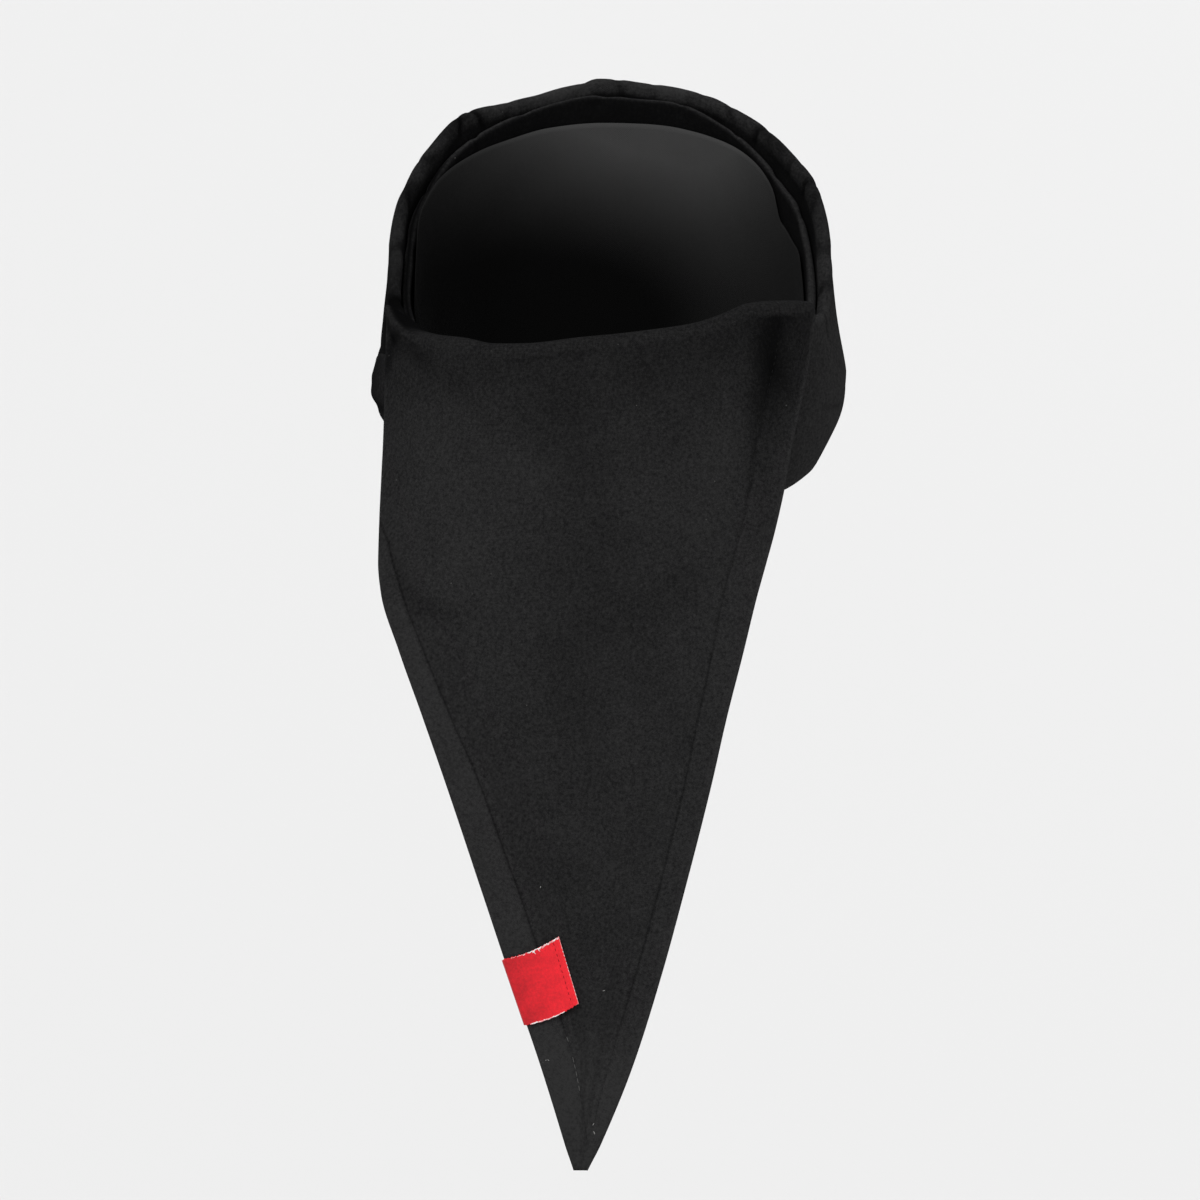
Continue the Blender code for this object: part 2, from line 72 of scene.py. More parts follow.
# A turn is an angle round the neck in degrees: 0 at the throat, 90 at the viewer's right,
# 180 at the nape and 270 at the viewer's left. Heights are from the object's origin.
BAND = table(
    "turn rim foot belly full roll lining",
    (0, -15, -66, 1, 0.5, 2.4, 5.6), (25, -12, -70, 1.2, 0.5, 2.4, 5.8),
    (45, -4, -71.5, 2.2, 0.55, 2.8, 8), (63, -3.5, -65, 4.8, 0.64, 4, 10.6),
    (76, -0.5, -54.5, 6, 0.66, 4.5, 11.2), (83, 7, -49.5, 6, 0.67, 4.6, 11.2),
    (90, 17, -45.5, 5.2, 0.72, 4.6, 11.2), (96, 28, -42, 4.4, 0.75, 4.6, 11.2),
    (103, 39, -38, 3.8, 0.75, 4.6, 11.2), (110, 48.5, -36, 3.5, 0.75, 4.5, 11.2),
    (123, 59.8, -32, 2.8, 0.7, 4.4, 11.2), (139, 72.8, -29, 2.2, 0.6, 4.2, 11.2),
    (158, 84.3, -27, 2, 0.5, 4, 11.2), (171, 88.2, -26.5, 2, 0.5, 4, 11.2),
    (182, 90.2, -26, 2, 0.5, 4, 11.2), (186, 88, -26, 2, 0.5, 4, 11.2),
    (195, 84.5, -26, 2, 0.5, 4, 11.2), (208, 80, -27, 2, 0.5, 4.2, 11.2),
    (221, 76.6, -28, 2.2, 0.6, 4.4, 11.2), (235, 62.4, -30, 2.6, 0.7, 4.5, 11.2),
    (250, 46.2, -34, 3, 0.8, 4.6, 11.2), (257, 36, -36, 3.4, 0.83, 4.6, 11.2),
    (264, 26, -40.5, 4, 0.83, 4.6, 11.2), (270, 16, -44, 5.1, 0.8, 4.6, 11.2),
    (277, 6, -47, 5.2, 0.76, 4.6, 11.2), (284, -2, -50, 4.4, 0.66, 4.5, 11.2),
    (297, -10, -55, 2.4, 0.55, 4, 10.6), (315, -15, -63, 1.2, 0.5, 2.8, 8),
    (335, -16.5, -65, 1, 0.5, 2.4, 5.8), (360, -15, -66, 1, 0.5, 2.4, 5.6),
)
OUTER_START = 45.0
OUTER_END = 340.0
OUTER_LEG_IN = 0.0220         # how far the rolled edge reaches down inside
FOOT_TUCK = 0.0020            # how far the foot draws in
FOOT_RETURN = 0.0140          # the ply folded up behind the foot
ARC = math.radians(0.0865)    # metres of cloth for a degree of turn

# Creases of the wound cloth, each a trough along a line from a turn and a distance down to
# another. Down is from the rim over the outer face, and negative on the rolled-in side.
CREASE = "turn down to_turn to_down width depth"
RIM_CREASES = table(
    CREASE,
    (113, -9, 109.5, 5, 1.7, 1), (104, -7, 107, 3, 2.2, 0.6), (122.5, -8.5, 119, 3, 1.8, 0.7),
    (138.5, -9.5, 133.5, 4, 1.8, 1.1), (145, -7.5, 149.5, 4, 2, 0.8), (160.5, -9, 156, 3, 1.8, 0.8),
    (168.5, -8, 171.5, 3.5, 1.8, 0.7), (176.5, -9, 181, 6, 1.6, 1), (187.5, -8, 184.5, 4, 1.8, 0.8),
    (193.5, -8, 199.5, 2, 2.4, 0.6), (209, -8.5, 204, 2.5, 2.2, 0.7),
    (215.5, -11, 220.5, 6, 1.8, 1.3), (225.5, -8, 222.5, 3, 1.8, 1), (235, -8, 240.5, 4, 2.4, 0.8),
    (253, -7, 248, 4, 2.4, 0.7), (262, -7, 268, 6, 2.4, 0.8), (277.5, -7, 281, 11, 2.2, 1),
    (287, -6, 284, 8, 1.8, 0.8), (96, -7, 92, 6, 2.4, 0.7), (83, -7, 87.5, 6, 2.4, 0.9),
    (76, -6, 72, 16, 2, 1), (130, -6, 128, 2, 3.4, -0.5), (152, -6, 154, 2, 3.4, -0.5),
    (190, -6, 192, 2, 3.4, -0.4), (211, -6, 213, 2, 3.4, -0.5), (245, -6, 243, 3, 4, -0.5),
)
SIDE_CREASES = table(
    CREASE,
    (61, 35.5, 78, 38.5, 1.4, 1.2), (64, 6, 66, 33, 2, 0.3), (70, 8, 74, 30, 3.4, -0.3),
    (72, 6, 79, 32, 3.4, 0.3), (82, 56, 112, 74, 3.4, 1.8), (84, 64, 118, 83, 4, -1),
    (92, 30, 128, 49, 5, 2), (98, 18, 134, 33, 4.2, 1.6), (96, 40, 132, 59, 5.6, -1.2),
    (112, 85, 160, 79, 4.6, 2), (118, 64, 158, 56, 3.6, 1.4), (124, 35, 168, 25, 5.6, 2),
    (138, 16, 182, 12, 4, 1.2), (142, 101, 196, 104, 4, 1.6), (150, 56, 205, 66, 5, 2.2),
    (156, 64, 200, 74, 5, -1), (166, 93, 214, 98, 3.6, 1.5), (186, 33, 226, 46, 5.2, 2),
    (190, 42, 222, 54, 5, -1), (204, 18, 240, 26, 4, 1.4), (214, 78, 254, 56, 4.4, 2.1),
    (222, 64, 250, 46, 3.6, 1.2), (236, 32, 264, 22, 4, 1.7), (256, 60, 280, 36, 3.6, 0.8),
    (262, 40, 284, 21, 3.6, 0.6), (276, 37, 290, 30, 2.6, 0.6),
)
PLEAT_START = (60.0, 0.030)   # turn and distance from the rim where the lapped fold starts
PLEAT_SLOPE = 0.00022         # how much lower it lies for each further degree
PLEAT_END = 296.0
PLEAT_ENDING = 14.0           # turns over which it rises at each end
PLEAT_STEP = 0.0006
PLEAT_SOFT = 0.0016

CREST_KEPT = 0.60             # how much less the creases cut where they cross the crest
CREST_WIDE = 0.0026
OUTER_WAVE = 0.00030

# How the outer face is painted: painted shade all over; painted light on the right side; painted
# shade on the left side, at a pinch there and round the rolled-in edge; painted highlights along
# the crest, brightest at the nape and in painted shade at the quarters; painted shade in creases
# and pinches; and a rubbed pale fold at its foot. A patch has the turn of its middle, how many
# turns wide it is, and how strong.
OUTER_PAINTED_SHADE = -0.14
RIGHT_PAINTED_LIGHT = (70.0, 16.0, 0.90)
LEFT_PAINTED_SHADE = (281.0, 16.0, 0.85)
LEFT_PINCH_PAINTED_SHADE = (280.5, 4.0, 0.8)
NAPE_PAINTED_HIGHLIGHT = (182.0, 28.0, 2.30)
QUARTER_PAINTED_SHADES = ((232.0, 20.0, 0.50), (128.0, 20.0, 0.32))
CREST_PAINTED_SHADE = 0.25
PAINTED_GLINT_IN = 0.0026             # the painted glints lie this far in from the crest, and are this wide
PAINTED_GLINT_WIDE = 0.0034
ROLLED_IN_PAINTED_SHADE = 0.7
CREASE_PAINTED_SHADE = 300.0          # painted shade for each metre of depth of the creases, and of the pinches, and painted light where they stand out
PINCH_PAINTED_SHADE = 260.0
FOOT_PALE = 0.3
FOOT_PALE_WIDE = 0.0014

OUTER_COLUMNS = 340
OUTER_ROWS = {"return": 6, "foot": 5, "leg": 62, "roll": 11, "inside": 12}


def curve_of(rows, column):
    """A smooth curve through one column of a table, that never overshoots its rows."""
    places, values = np.array(sorted((row[0], getattr(row, column)) for row in rows), float).T
    gaps = np.diff(places)
    steps = np.diff(values) / gaps
    before, after = steps[:-1], steps[1:]
    same_way = before * after > 0.0
    total = np.where(same_way, before + after, 1.0)
    inner = np.where(same_way, 2.0 * before * after / total, 0.0)
    slopes = np.concatenate(([steps[0]], inner, [steps[-1]]))

    def at(place):
        place = np.clip(place, places[0], places[-1])
        index = np.clip(np.searchsorted(places, place) - 1, 0, len(gaps) - 1)
        t = (place - places[index]) / gaps[index]
        rise = values[index + 1] - values[index]
        start = slopes[index] * gaps[index]
        end = slopes[index + 1] * gaps[index]
        return values[index] + t * (start + t * (3 * rise - 2 * start - end
                                                 + t * (start + end - 2 * rise)))
    return at


def curves_of(rows):
    """A curve for each column of a table, along its first column."""
    return {column: curve_of(rows, column) for column in rows[0]._fields[1:]}


band_curves = curves_of(BAND)


def band(column, turn):
    """A column of the band's table at any turn."""
    return band_curves[column](np.asarray(turn, float) % 360.0)


def mix(first, second, share):
    """A value that is share of the way from the first to the second."""
    return first + (second - first) * share


def ease(low, high, at):
    """0 up to low, 1 from high on, and a soft curve between."""
    t = np.clip((np.asarray(at, float) - low) / (high - low), 0.0, 1.0)
    return t * t * (3.0 - 2.0 * t)


def fade(low, high, at):
    """1 up to low, 0 from high on, and a soft curve between."""
    return 1.0 - ease(low, high, at)


def hump(off, width):
    """1 where off is 0, and dying away over about this width on each side."""
    return np.exp(-(off / width) ** 2)


def unit(vectors):
    """The directions of vectors, each of length 1."""
    return vectors / np.linalg.norm(vectors, axis=-1, keepdims=True)


def round_of_neck(turn):
    """Shares of the half width and half depth at a turn."""
    angle = np.radians(turn)
    power = 2.0 / NECK_FULLNESS
    across = np.sign(np.sin(angle)) * np.abs(np.sin(angle)) ** power
    along = -np.sign(np.cos(angle)) * np.abs(np.cos(angle)) ** power
    return across, along


def ripple(turn, height):
    """Soft unevenness of the wound cloth."""
    angle = np.radians(turn)
    slow = np.sin(7.0 * angle + 38.0 * height + 0.6)
    quick = np.sin(13.0 * angle - 55.0 * height + 2.1)
    return RIPPLE_HIGH * (0.6 * slow + 0.4 * quick)


def neck_points(turn, inset, height):
    """Points at turns and heights, set inwards from the outside of the band."""
    turn, inset, height = np.broadcast_arrays(turn, inset, height)
    across, along = round_of_neck(turn)
    inset = inset - ripple(turn, height)
    x = across * (NECK_HALF_WIDTH - inset)
    y = along * (NECK_HALF_DEPTH - inset) - NECK_LEAN * height
    return np.stack((x, y, height), axis=-1)


def outer_face_inset(turn, height):
    """Inset of the outer layer's middle at a height: its belly, and its foot drawn in."""
    rim = band("rim", turn)
    foot = band("foot", turn)
    down = np.clip((rim - height) / (rim - foot), 0.0, 1.0)
    skew = math.log(0.5) / np.log(band("full", turn))
    swell = band("belly", turn) * np.sin(math.pi * down ** skew)
    return BAND_WALL / 2 - swell + FOOT_TUCK * down ** 4


def normals_of(points):
    """Unit normals of a grid of points, on the side that the outer face of the cloth is."""
    return unit(np.cross(np.gradient(points, axis=1), np.gradient(points, axis=0)))


def run_down(points, start_row):
    """Distance of each point from a row, along its own column: negative before that row."""
    steps = np.linalg.norm(np.diff(points, axis=0), axis=-1)
    run = np.concatenate((np.zeros((1, points.shape[1])), np.cumsum(steps, axis=0)))
    return run - run[start_row]


def unevenness(across, down, high):
    """The faint waviness of handled cloth, from three slow waves, at most high each way."""
    first = np.sin(170.0 * across + 60.0 * down + 0.4)
    second = np.sin(95.0 * across - 210.0 * down + 1.9)
    third = np.sin(330.0 * across + 260.0 * down + 4.1)
    return high * (0.4 * (first + second) + 0.2 * third)


def trough_relief(across, down, start, end, width, depth):
    """How far one soft crease sets the cloth back: a trough with low shoulders."""
    run_across = end[0] - start[0]
    run_down_it = end[1] - start[1]
    length = math.hypot(run_across, run_down_it)
    along = ((across - start[0]) * run_across + (down - start[1]) * run_down_it) / length ** 2
    beside = ((across - start[0]) * run_down_it - (down - start[1]) * run_across) / length
    beside = beside + 0.45 * width * np.sin(5.5 * along + 40.0 * start[0])
    ends = ease(-0.12, 0.30, along) * fade(0.55, 1.12, along)
    share = (beside / width) ** 2
    return depth * ends * (1.0 - 0.55 * share) * np.exp(-0.7 * share)


def wound_relief(rows, turn, down):
    """The creases of a table, on cloth that is wound round the neck."""
    total = np.zeros(np.broadcast(turn, down).shape)
    for row in rows:
        start, end = (row.turn * ARC, row.down), (row.to_turn * ARC, row.to_down)
        total += trough_relief(turn * ARC, down, start, end, row.width, row.depth)
    return total


def placed(name, shape):
    """A new object in the scene."""
    made = bpy.data.objects.new(name, shape)
    bpy.context.scene.collection.objects.link(made)
    return made


def grid_mesh(name, columns, rows, half_side=1.0):
    """A flat square mesh of this many points across and up."""
    work = bmesh.new()
    bmesh.ops.create_grid(work, x_segments=columns - 1, y_segments=rows - 1, size=half_side)
    mesh = bpy.data.meshes.new(name)
    work.to_mesh(mesh)
    work.free()
    return mesh


def cloth_shell(name, points, grain, finish, thickness=CLOTH, wear_and_painted_light=0.0):
    """A sheet through a grid of points, with the cloth's own thickness and its grain as UVs.

    Its last argument is 1 where the cloth is painted pale, partly rubbed and partly painted light,
    and down to -1 where painted shade lies deepest, in folds and recesses.
    """
    rows, columns = points.shape[:2]
    mesh = grid_mesh(name, columns, rows)
    flat = np.empty(len(mesh.vertices) * 3, np.float32)
    mesh.vertices.foreach_get("co", flat)
    flat = flat.reshape(-1, 3)
    column = np.rint((flat[:, 0] + 1.0) / 2.0 * (columns - 1)).astype(int)
    row = np.rint((flat[:, 1] + 1.0) / 2.0 * (rows - 1)).astype(int)
    mesh.vertices.foreach_set("co", points[row, column].astype(np.float32).ravel())
    corners = np.empty(len(mesh.loops), np.int32)
    mesh.loops.foreach_get("vertex_index", corners)
    layer = mesh.uv_layers.new(name="grain")
    layer.uv.foreach_set("vector", grain[row, column][corners].astype(np.float32).ravel())
    wear_and_light_values = np.clip(np.broadcast_to(wear_and_painted_light, points.shape[:2]), -1.0, 1.0)
    kept = mesh.attributes.new("wear_and_painted_light", "FLOAT", "POINT")
    kept.data.foreach_set("value", wear_and_light_values[row, column].astype(np.float32))
    mesh.materials.append(finish)
    mesh.shade_smooth()
    mesh.update()
    piece = placed(name, mesh)
    thick = piece.modifiers.new("cloth thickness", "SOLIDIFY")
    thick.thickness = thickness
    thick.offset = 0.0
    return piece


COLOUR_A, COLOUR_B, COLOUR_OUT = 6, 7, 2   # the colour sockets of a Mix node


class Wire:
    """A node's output. Arithmetic on it adds Math nodes, and node() adds any other node."""

    def __init__(self, tree, socket=None):
        self.tree = tree
        self.socket = socket

    def node(self, kind, settings, sockets, output=0):
        """Adds a node: its settings first, then a value or a link for each of its sockets."""
        made = self.tree.nodes.new(kind)
        for name, value in settings.items():
            setattr(made, name, value)
        for name, value in sockets.items():
            entry = made.inputs[name]
            if isinstance(value, Wire):
                self.tree.links.new(value.socket, entry)
            else:
                entry.default_value = (*value, 1.0) if entry.type == "RGBA" else value
        return Wire(self.tree, made.outputs[output])

    def part(self, index):
        """Another output of the same node."""
        return Wire(self.tree, self.socket.node.outputs[index])

    def maths(self, operation, *values):
        return self.node("ShaderNodeMath", {"operation": operation}, dict(enumerate(values)))

    def __add__(self, other):
        return self.maths("ADD", self, other)

    def __sub__(self, other):
        return self.maths("SUBTRACT", self, other)

    def __mul__(self, other):
        return self.maths("MULTIPLY", self, other)

    def __truediv__(self, other):
        return self.maths("DIVIDE", self, other)

    def __pow__(self, other):
        return self.maths("POWER", self, other)

    def __rsub__(self, other):
        return self.maths("SUBTRACT", other, self)

    __radd__ = __add__
    __rmul__ = __mul__

    def sine(self):
        return self.maths("SINE", self)

    def limited(self):
        """Kept between 0 and 1."""
        return self.maths("MINIMUM", self.maths("MAXIMUM", self, 0.0), 1.0)

    def between(self, low, high):
        """0 up to low and 1 from high on, along a soft curve."""
        settings = {"interpolation_type": "SMOOTHSTEP"}
        sockets = {"Value": self, "From Min": low, "From Max": high}
        return self.node("ShaderNodeMapRange", settings, sockets)

    def speckle(self, scale, detail=3.0, roughness=0.6):
        """Noise of this many grains for each unit of the vector."""
        sockets = {"Vector": self, "Scale": scale, "Detail": detail, "Roughness": roughness}
        return self.node("ShaderNodeTexNoise", {}, sockets)

    def blend_colours(self, first, second):
        """The first colour where this is 0, the second where it is 1."""
        sockets = {0: self, COLOUR_A: first, COLOUR_B: second}
        return self.node("ShaderNodeMix", {"data_type": "RGBA"}, sockets, COLOUR_OUT)


def start_finish(name):
    """A new material: its Principled node, and a wire to draw its nodes with."""
    made = bpy.data.materials.new(name)
    made.use_nodes = True
    shader = made.node_tree.nodes["Principled BSDF"]
    return made, shader, Wire(made.node_tree)


def join(wire, shader, socket):
    """Feeds one of the shader's sockets."""
    wire.tree.links.new(wire.socket, shader.inputs[socket])


def keep_even(shader, values):
    """Sets what is the same all over a surface."""
    for socket, value in values.items():
        shader.inputs[socket].default_value = value


def raise_relief(wire, shader, height, strength, distance):
    """Lets a relief tilt the shader's normal."""
    sockets = {"Height": height, "Strength": strength, "Distance": distance}
    join(wire.node("ShaderNodeBump", {}, sockets), shader, "Normal")


def object_space(wire):
    return wire.node("ShaderNodeTexCoord", {}, {}, 3)


def cloth_places(wire):
    """Where a point lies on its piece: its grain, across, down, in space, and how it is rubbed and
    painted with light and shade.
    """
    grain = wire.node("ShaderNodeUVMap", {"uv_map": "grain"}, {})
    across = wire.node("ShaderNodeSeparateXYZ", {}, {"Vector": grain})
    wear_and_painted_light = wire.node("ShaderNodeAttribute", {"attribute_name": "wear_and_painted_light"}, {}, 2)
    return grain, across, across.part(1), object_space(wire), wear_and_painted_light


YARN = 0.00042                # from one yarn to the next
DYE = (0.0096, 0.0095, 0.0098)
# The pale end of the dye, for rubbed cloth and for painted light, and the near black of painted
# shade.
DYE_WORN_AND_LIT = (0.0276, 0.0274, 0.0276)
PAINTED_SHADE_BLACK = (0.0022, 0.0022, 0.0023)
LINT = (0.055, 0.055, 0.053)


def black_cloth_finish(name, mottled=1.0, flecks=0.10, gloss=0.0, painted_hollow_light=None):
    """Black plain weave: uneven yarns, mottled grain, stray lint, hardly any sheen; rubbing,
    painted light and painted shade.
    """
    made, shader, wire = start_finish(name)
    grain, across, down, space, wear_and_painted_light = cloth_places(wire)
    yarn_wave = math.pi / YARN
    plain = (across * yarn_wave).sine() * (down * yarn_wave).sine()
    mottle = space.speckle(820.0, 4.0, 0.75)
    cloud = space.speckle(45.0, 3.0, 0.6)
    pale = space.speckle(1500.0, 1.0, 0.5).between(0.60, 0.78)
    long_across = {"Vector": grain, "Scale": (260.0, 2400.0, 1.0)}
    long_down = {"Vector": grain, "Scale": (2400.0, 260.0, 1.0)}
    slub = (wire.node("ShaderNodeMapping", {}, long_across).speckle(1.0, 2.0, 0.5)
            + wire.node("ShaderNodeMapping", {}, long_down).speckle(1.0, 2.0, 0.5))
    # Tone of the weave, made paler by rubbing and by painted light.
    tone = (0.42 + (mottle - 0.5) * (2.5 * mottled) + (cloud - 0.5) * 0.3
            + (slub - 1.0) * (0.55 * mottled) + pale * (0.30 * mottled) + wear_and_painted_light * 0.45)
    colour = tone.limited().blend_colours(DYE, DYE_WORN_AND_LIT)
    # On the lining, the painted light and shade of the hollow takes the place of the woven tone.
    if painted_hollow_light:
        colour = painted_hollow_light(wire, space)
    # Painted shade: where the values run below 0, the cloth is darkened towards near black.
    colour = (wear_and_painted_light * -1.0).limited().blend_colours(colour, PAINTED_SHADE_BLACK)
    cells = wire.node("ShaderNodeTexVoronoi", {"feature": "F1"}, {"Vector": space, "Scale": 260.0})
    chosen = space.speckle(120.0, 0.0, 0.5).between(0.80 - flecks, 0.83 - flecks)
    fleck = (1.0 - cells.between(0.05, 0.10)) * chosen
    colour = fleck.blend_colours(colour, LINT)
    join(colour, shader, "Base Color")
    join(0.86 + (mottle - 0.5) * 0.20 - wear_and_painted_light * 0.05, shader, "Roughness")
    raise_relief(wire, shader, plain * 0.5 + slub * 0.5 + mottle * 0.8, 0.6, 0.00018)
    keep_even(shader, {"Sheen Weight": 0.004 + 0.2 * gloss, "Sheen Roughness": 0.45,
                       "Sheen Tint": (0.85, 0.86, 0.90, 1.0), "Specular IOR Level": gloss})
    return made


black_cloth = black_cloth_finish("black plain weave")

outer_turn = np.linspace(OUTER_START, OUTER_END, OUTER_COLUMNS)
rim = band("rim", outer_turn)
foot = band("foot", outer_turn)
roll_radius = band("roll", outer_turn) / 2 + PROUD
shoulder = rim - CLOTH / 2 - roll_radius
fold_foot = foot + CLOTH / 2 + PROUD


def outer_ply(height, side):
    """Inset of the layer's outer ply (side -1) or of the ply behind it (side 1)."""
    return outer_face_inset(outer_turn, height) + side * PROUD


def upright(inset):
    """A ply that stands straight, at one inset."""
    return lambda height, side: inset


def flat_rows(count, ply, start, end, side, last=False):
    """Rows of a flat stretch of a sheet, from one height to another, as insets and heights."""
    heights = [mix(start, end, share) for share in np.linspace(0.0, 1.0, count, endpoint=last)]
    return [(ply(height, side), height) for height in heights]


def fold_rows(count, ply, height, way):
    """Rows round the fold between two plies, at a sheet's top (way 1) or its foot (way -1)."""
    return [(ply(height, -way * math.cos(angle)), height + way * PROUD * math.sin(angle))
            for angle in np.linspace(0.0, math.pi, count, endpoint=False)]


def roll_rows(count, inset, height, radius):
    """Rows over a rolled edge, from its outer side to its inner side."""
    return [(inset + radius * (1.0 - math.cos(angle)), height + radius * math.sin(angle))
            for angle in np.linspace(0.0, math.pi, count, endpoint=False)]


def wound_sheet(turn, strip, level_row):
    """Points of a wound sheet, and for each its turn and its distance down from one row."""
    insets, heights = (np.array(values) for values in zip(*strip))
    points = neck_points(turn, insets, heights)
    down = -run_down(points, level_row)
    return points, np.broadcast_to(turn, down.shape), down


def wound_shell(solid, points, turns, down, set_back, finish, wear_and_painted_light=0.0):
    """The cloth of a wound sheet, with its creases sunk in, for the solid of that name."""
    sunk = points - normals_of(points) * set_back[..., None]
    grain = np.stack((turns * ARC, down), axis=-1)
    piece = cloth_shell(solid + "_cloth", sunk, grain, finish, wear_and_painted_light=wear_and_painted_light)
    return piece


strip = flat_rows(OUTER_ROWS["return"], outer_ply, fold_foot + FOOT_RETURN, fold_foot, 1.0)
strip += fold_rows(OUTER_ROWS["foot"], outer_ply, fold_foot, -1.0)
face_start = len(strip)
strip += flat_rows(OUTER_ROWS["leg"], outer_ply, fold_foot, shoulder, -1.0)
rim_row = len(strip) + OUTER_ROWS["roll"] // 2
edge_inset = outer_ply(shoulder, -1.0)
strip += roll_rows(OUTER_ROWS["roll"], edge_inset, shoulder, roll_radius)
strip += flat_rows(OUTER_ROWS["inside"], upright(edge_inset + 2 * roll_radius),
                   shoulder, shoulder - OUTER_LEG_IN, 1.0, True)
outer_points, turns, outer_down = wound_sheet(outer_turn, strip, rim_row)
on_face = ease(0.0, 0.004, outer_down) * fade(0.94, 1.0, outer_down / (rim - foot))
pleat_line = PLEAT_START[1] + PLEAT_SLOPE * (turns - PLEAT_START[0])
pleat = PLEAT_STEP * ease(-PLEAT_SOFT / 2, PLEAT_SOFT / 2, pleat_line - outer_down)
pleat *= ease(PLEAT_START[0], PLEAT_START[0] + PLEAT_ENDING, turns)
pleat *= fade(PLEAT_END - PLEAT_ENDING, PLEAT_END, turns)
pleat *= ease(0.004, 0.020, outer_down)
pinches = wound_relief(RIM_CREASES, turns, outer_down)
set_back = pinches * (1.0 - CREST_KEPT * hump(outer_down, CREST_WIDE))
set_back += on_face * (wound_relief(SIDE_CREASES, turns, outer_down) - pleat)
set_back += unevenness(turns * ARC, outer_down, OUTER_WAVE)
set_back[:face_start] = 0.0


def patch(turns, middle, wide, strength):
    """A patch of wear or shade round one turn."""
    return strength * hump(turns - middle, wide)


# Painted highlights along the rolled crest: glints, brightest at the nape, with painted shade at
# the two quarters.
painted_glints = 0.6 + 0.4 * np.sin(0.31 * turns + 1.4 * np.sin(0.09 * turns))
painted_quarter_shade = sum(patch(turns, *shade) for shade in QUARTER_PAINTED_SHADES)
crest_painted_light = (patch(turns, *NAPE_PAINTED_HIGHLIGHT) - CREST_PAINTED_SHADE - painted_quarter_shade) * painted_glints
# The whole stretch is painted a shade darker. Then painted light on the right, painted shade on the
# left, round the rolled-in edge and in creases and pinches. Only the pale fold at the foot is
# rubbed.
outer_wear_and_painted_light = OUTER_PAINTED_SHADE + crest_painted_light * hump(outer_down + PAINTED_GLINT_IN, PAINTED_GLINT_WIDE)
outer_wear_and_painted_light += patch(turns, *RIGHT_PAINTED_LIGHT) * mix(0.45, 1.0, ease(0.016, 0.044, outer_down))
outer_wear_and_painted_light -= patch(turns, *LEFT_PAINTED_SHADE) * ease(-0.004, 0.010, outer_down)
outer_wear_and_painted_light -= patch(turns, *LEFT_PINCH_PAINTED_SHADE) * fade(0.0, 0.006, outer_down)
outer_wear_and_painted_light -= ROLLED_IN_PAINTED_SHADE * ease(0.0054, 0.0080, -outer_down)
outer_wear_and_painted_light -= CREASE_PAINTED_SHADE * np.clip(set_back - 0.0002, -0.0010, 0.0016)
outer_wear_and_painted_light -= PINCH_PAINTED_SHADE * np.clip(pinches, -0.0004, 0.0014)
outer_wear_and_painted_light += FOOT_PALE * hump(rim - foot - outer_down, FOOT_PALE_WIDE)
outer = wound_shell("neck_band_outer", outer_points, turns, outer_down, set_back, black_cloth,
                    outer_wear_and_painted_light)
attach(outer, "root")
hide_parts("neck_band_outer")

# ================ middle fold of the neck band
# The second fold inside the rim: the next ply of the same folded kerchief, a shade lower, so
# that its crest shows as a thin ridge all round the back. Held only by the winding.

MIDDLE = table(
    "turn crest",
    (64, -6.8), (76, -4.8), (83, 0), (90, 7.8), (97, 16.6), (105, 27.1), (113, 38.5), (121, 45.5),
    (132, 56.6), (145.5, 68.6), (157, 76.7), (162.5, 79.5), (174, 81.3), (183, 82.5), (192.5, 80),
    (206, 73.9), (223.5, 64), (233, 55.8), (241, 48), (250, 38.8), (257, 29), (264, 19), (270, 9),
    (277, 0), (284, -7),
)
MIDDLE_ROLL = 0.0026
MIDDLE_LEG_OUT = 0.0130
MIDDLE_LEG_IN = 0.0240
MIDDLE_COLUMNS = 260
MIDDLE_ROWS = {"leg": 12, "roll": 9, "inside": 18}
MIDDLE_WAVE = 0.00025
RIDGE_RUBBED_AND_LIT = 0.45             # its crest, partly rubbed and partly a painted highlight
RIDGE_RUBBED_AND_LIT_WIDE = 0.0010
RIDGE_PAINTED_SHADE_TURNS = (222.0, 240.0)   # between these turns the pale of the crest gives way to painted shade
# Painted shade on the cloth to each side of the crest.
BESIDE_RIDGE_PAINTED_SHADE = 0.8
MIDDLE_CREASES = table(
    CREASE,
    (108, -6, 112, 6, 2.4, 0.6), (128, -8, 124, 6, 2.8, 0.6), (141, -6, 145, 6, 2.2, 0.5),
    (160, -8, 163, 6, 3, 0.5), (183, -8, 180, 6, 2.6, 0.6), (202, -6, 206, 6, 2.8, 0.5),
    (222, -10, 218, 6, 2.2, 0.7), (241, -6, 245, 6, 2.6, 0.6), (262, -8, 259, 6, 3, 0.6),
)

middle_turn = np.linspace(MIDDLE[0].turn, MIDDLE[-1].turn, MIDDLE_COLUMNS)
crest = curve_of(MIDDLE, "crest")(middle_turn) + PROUD
first_inset = BAND_WALL * 1.5 + LAYER_GAP + band("roll", middle_turn) - PROUD
middle_radius = MIDDLE_ROLL / 2 + PROUD
middle_shoulder = crest - middle_radius
strip = flat_rows(MIDDLE_ROWS["leg"], upright(first_inset), crest - MIDDLE_LEG_OUT,
                  middle_shoulder, 1.0)
crest_row = len(strip) + MIDDLE_ROWS["roll"] // 2
strip += roll_rows(MIDDLE_ROWS["roll"], first_inset, middle_shoulder, middle_radius)
strip += flat_rows(MIDDLE_ROWS["inside"], upright(first_inset + 2 * middle_radius),
                   middle_shoulder, middle_shoulder - MIDDLE_LEG_IN, 1.0, True)
middle_points, turns, middle_down = wound_sheet(middle_turn, strip, crest_row)
set_back = wound_relief(MIDDLE_CREASES, turns, middle_down)
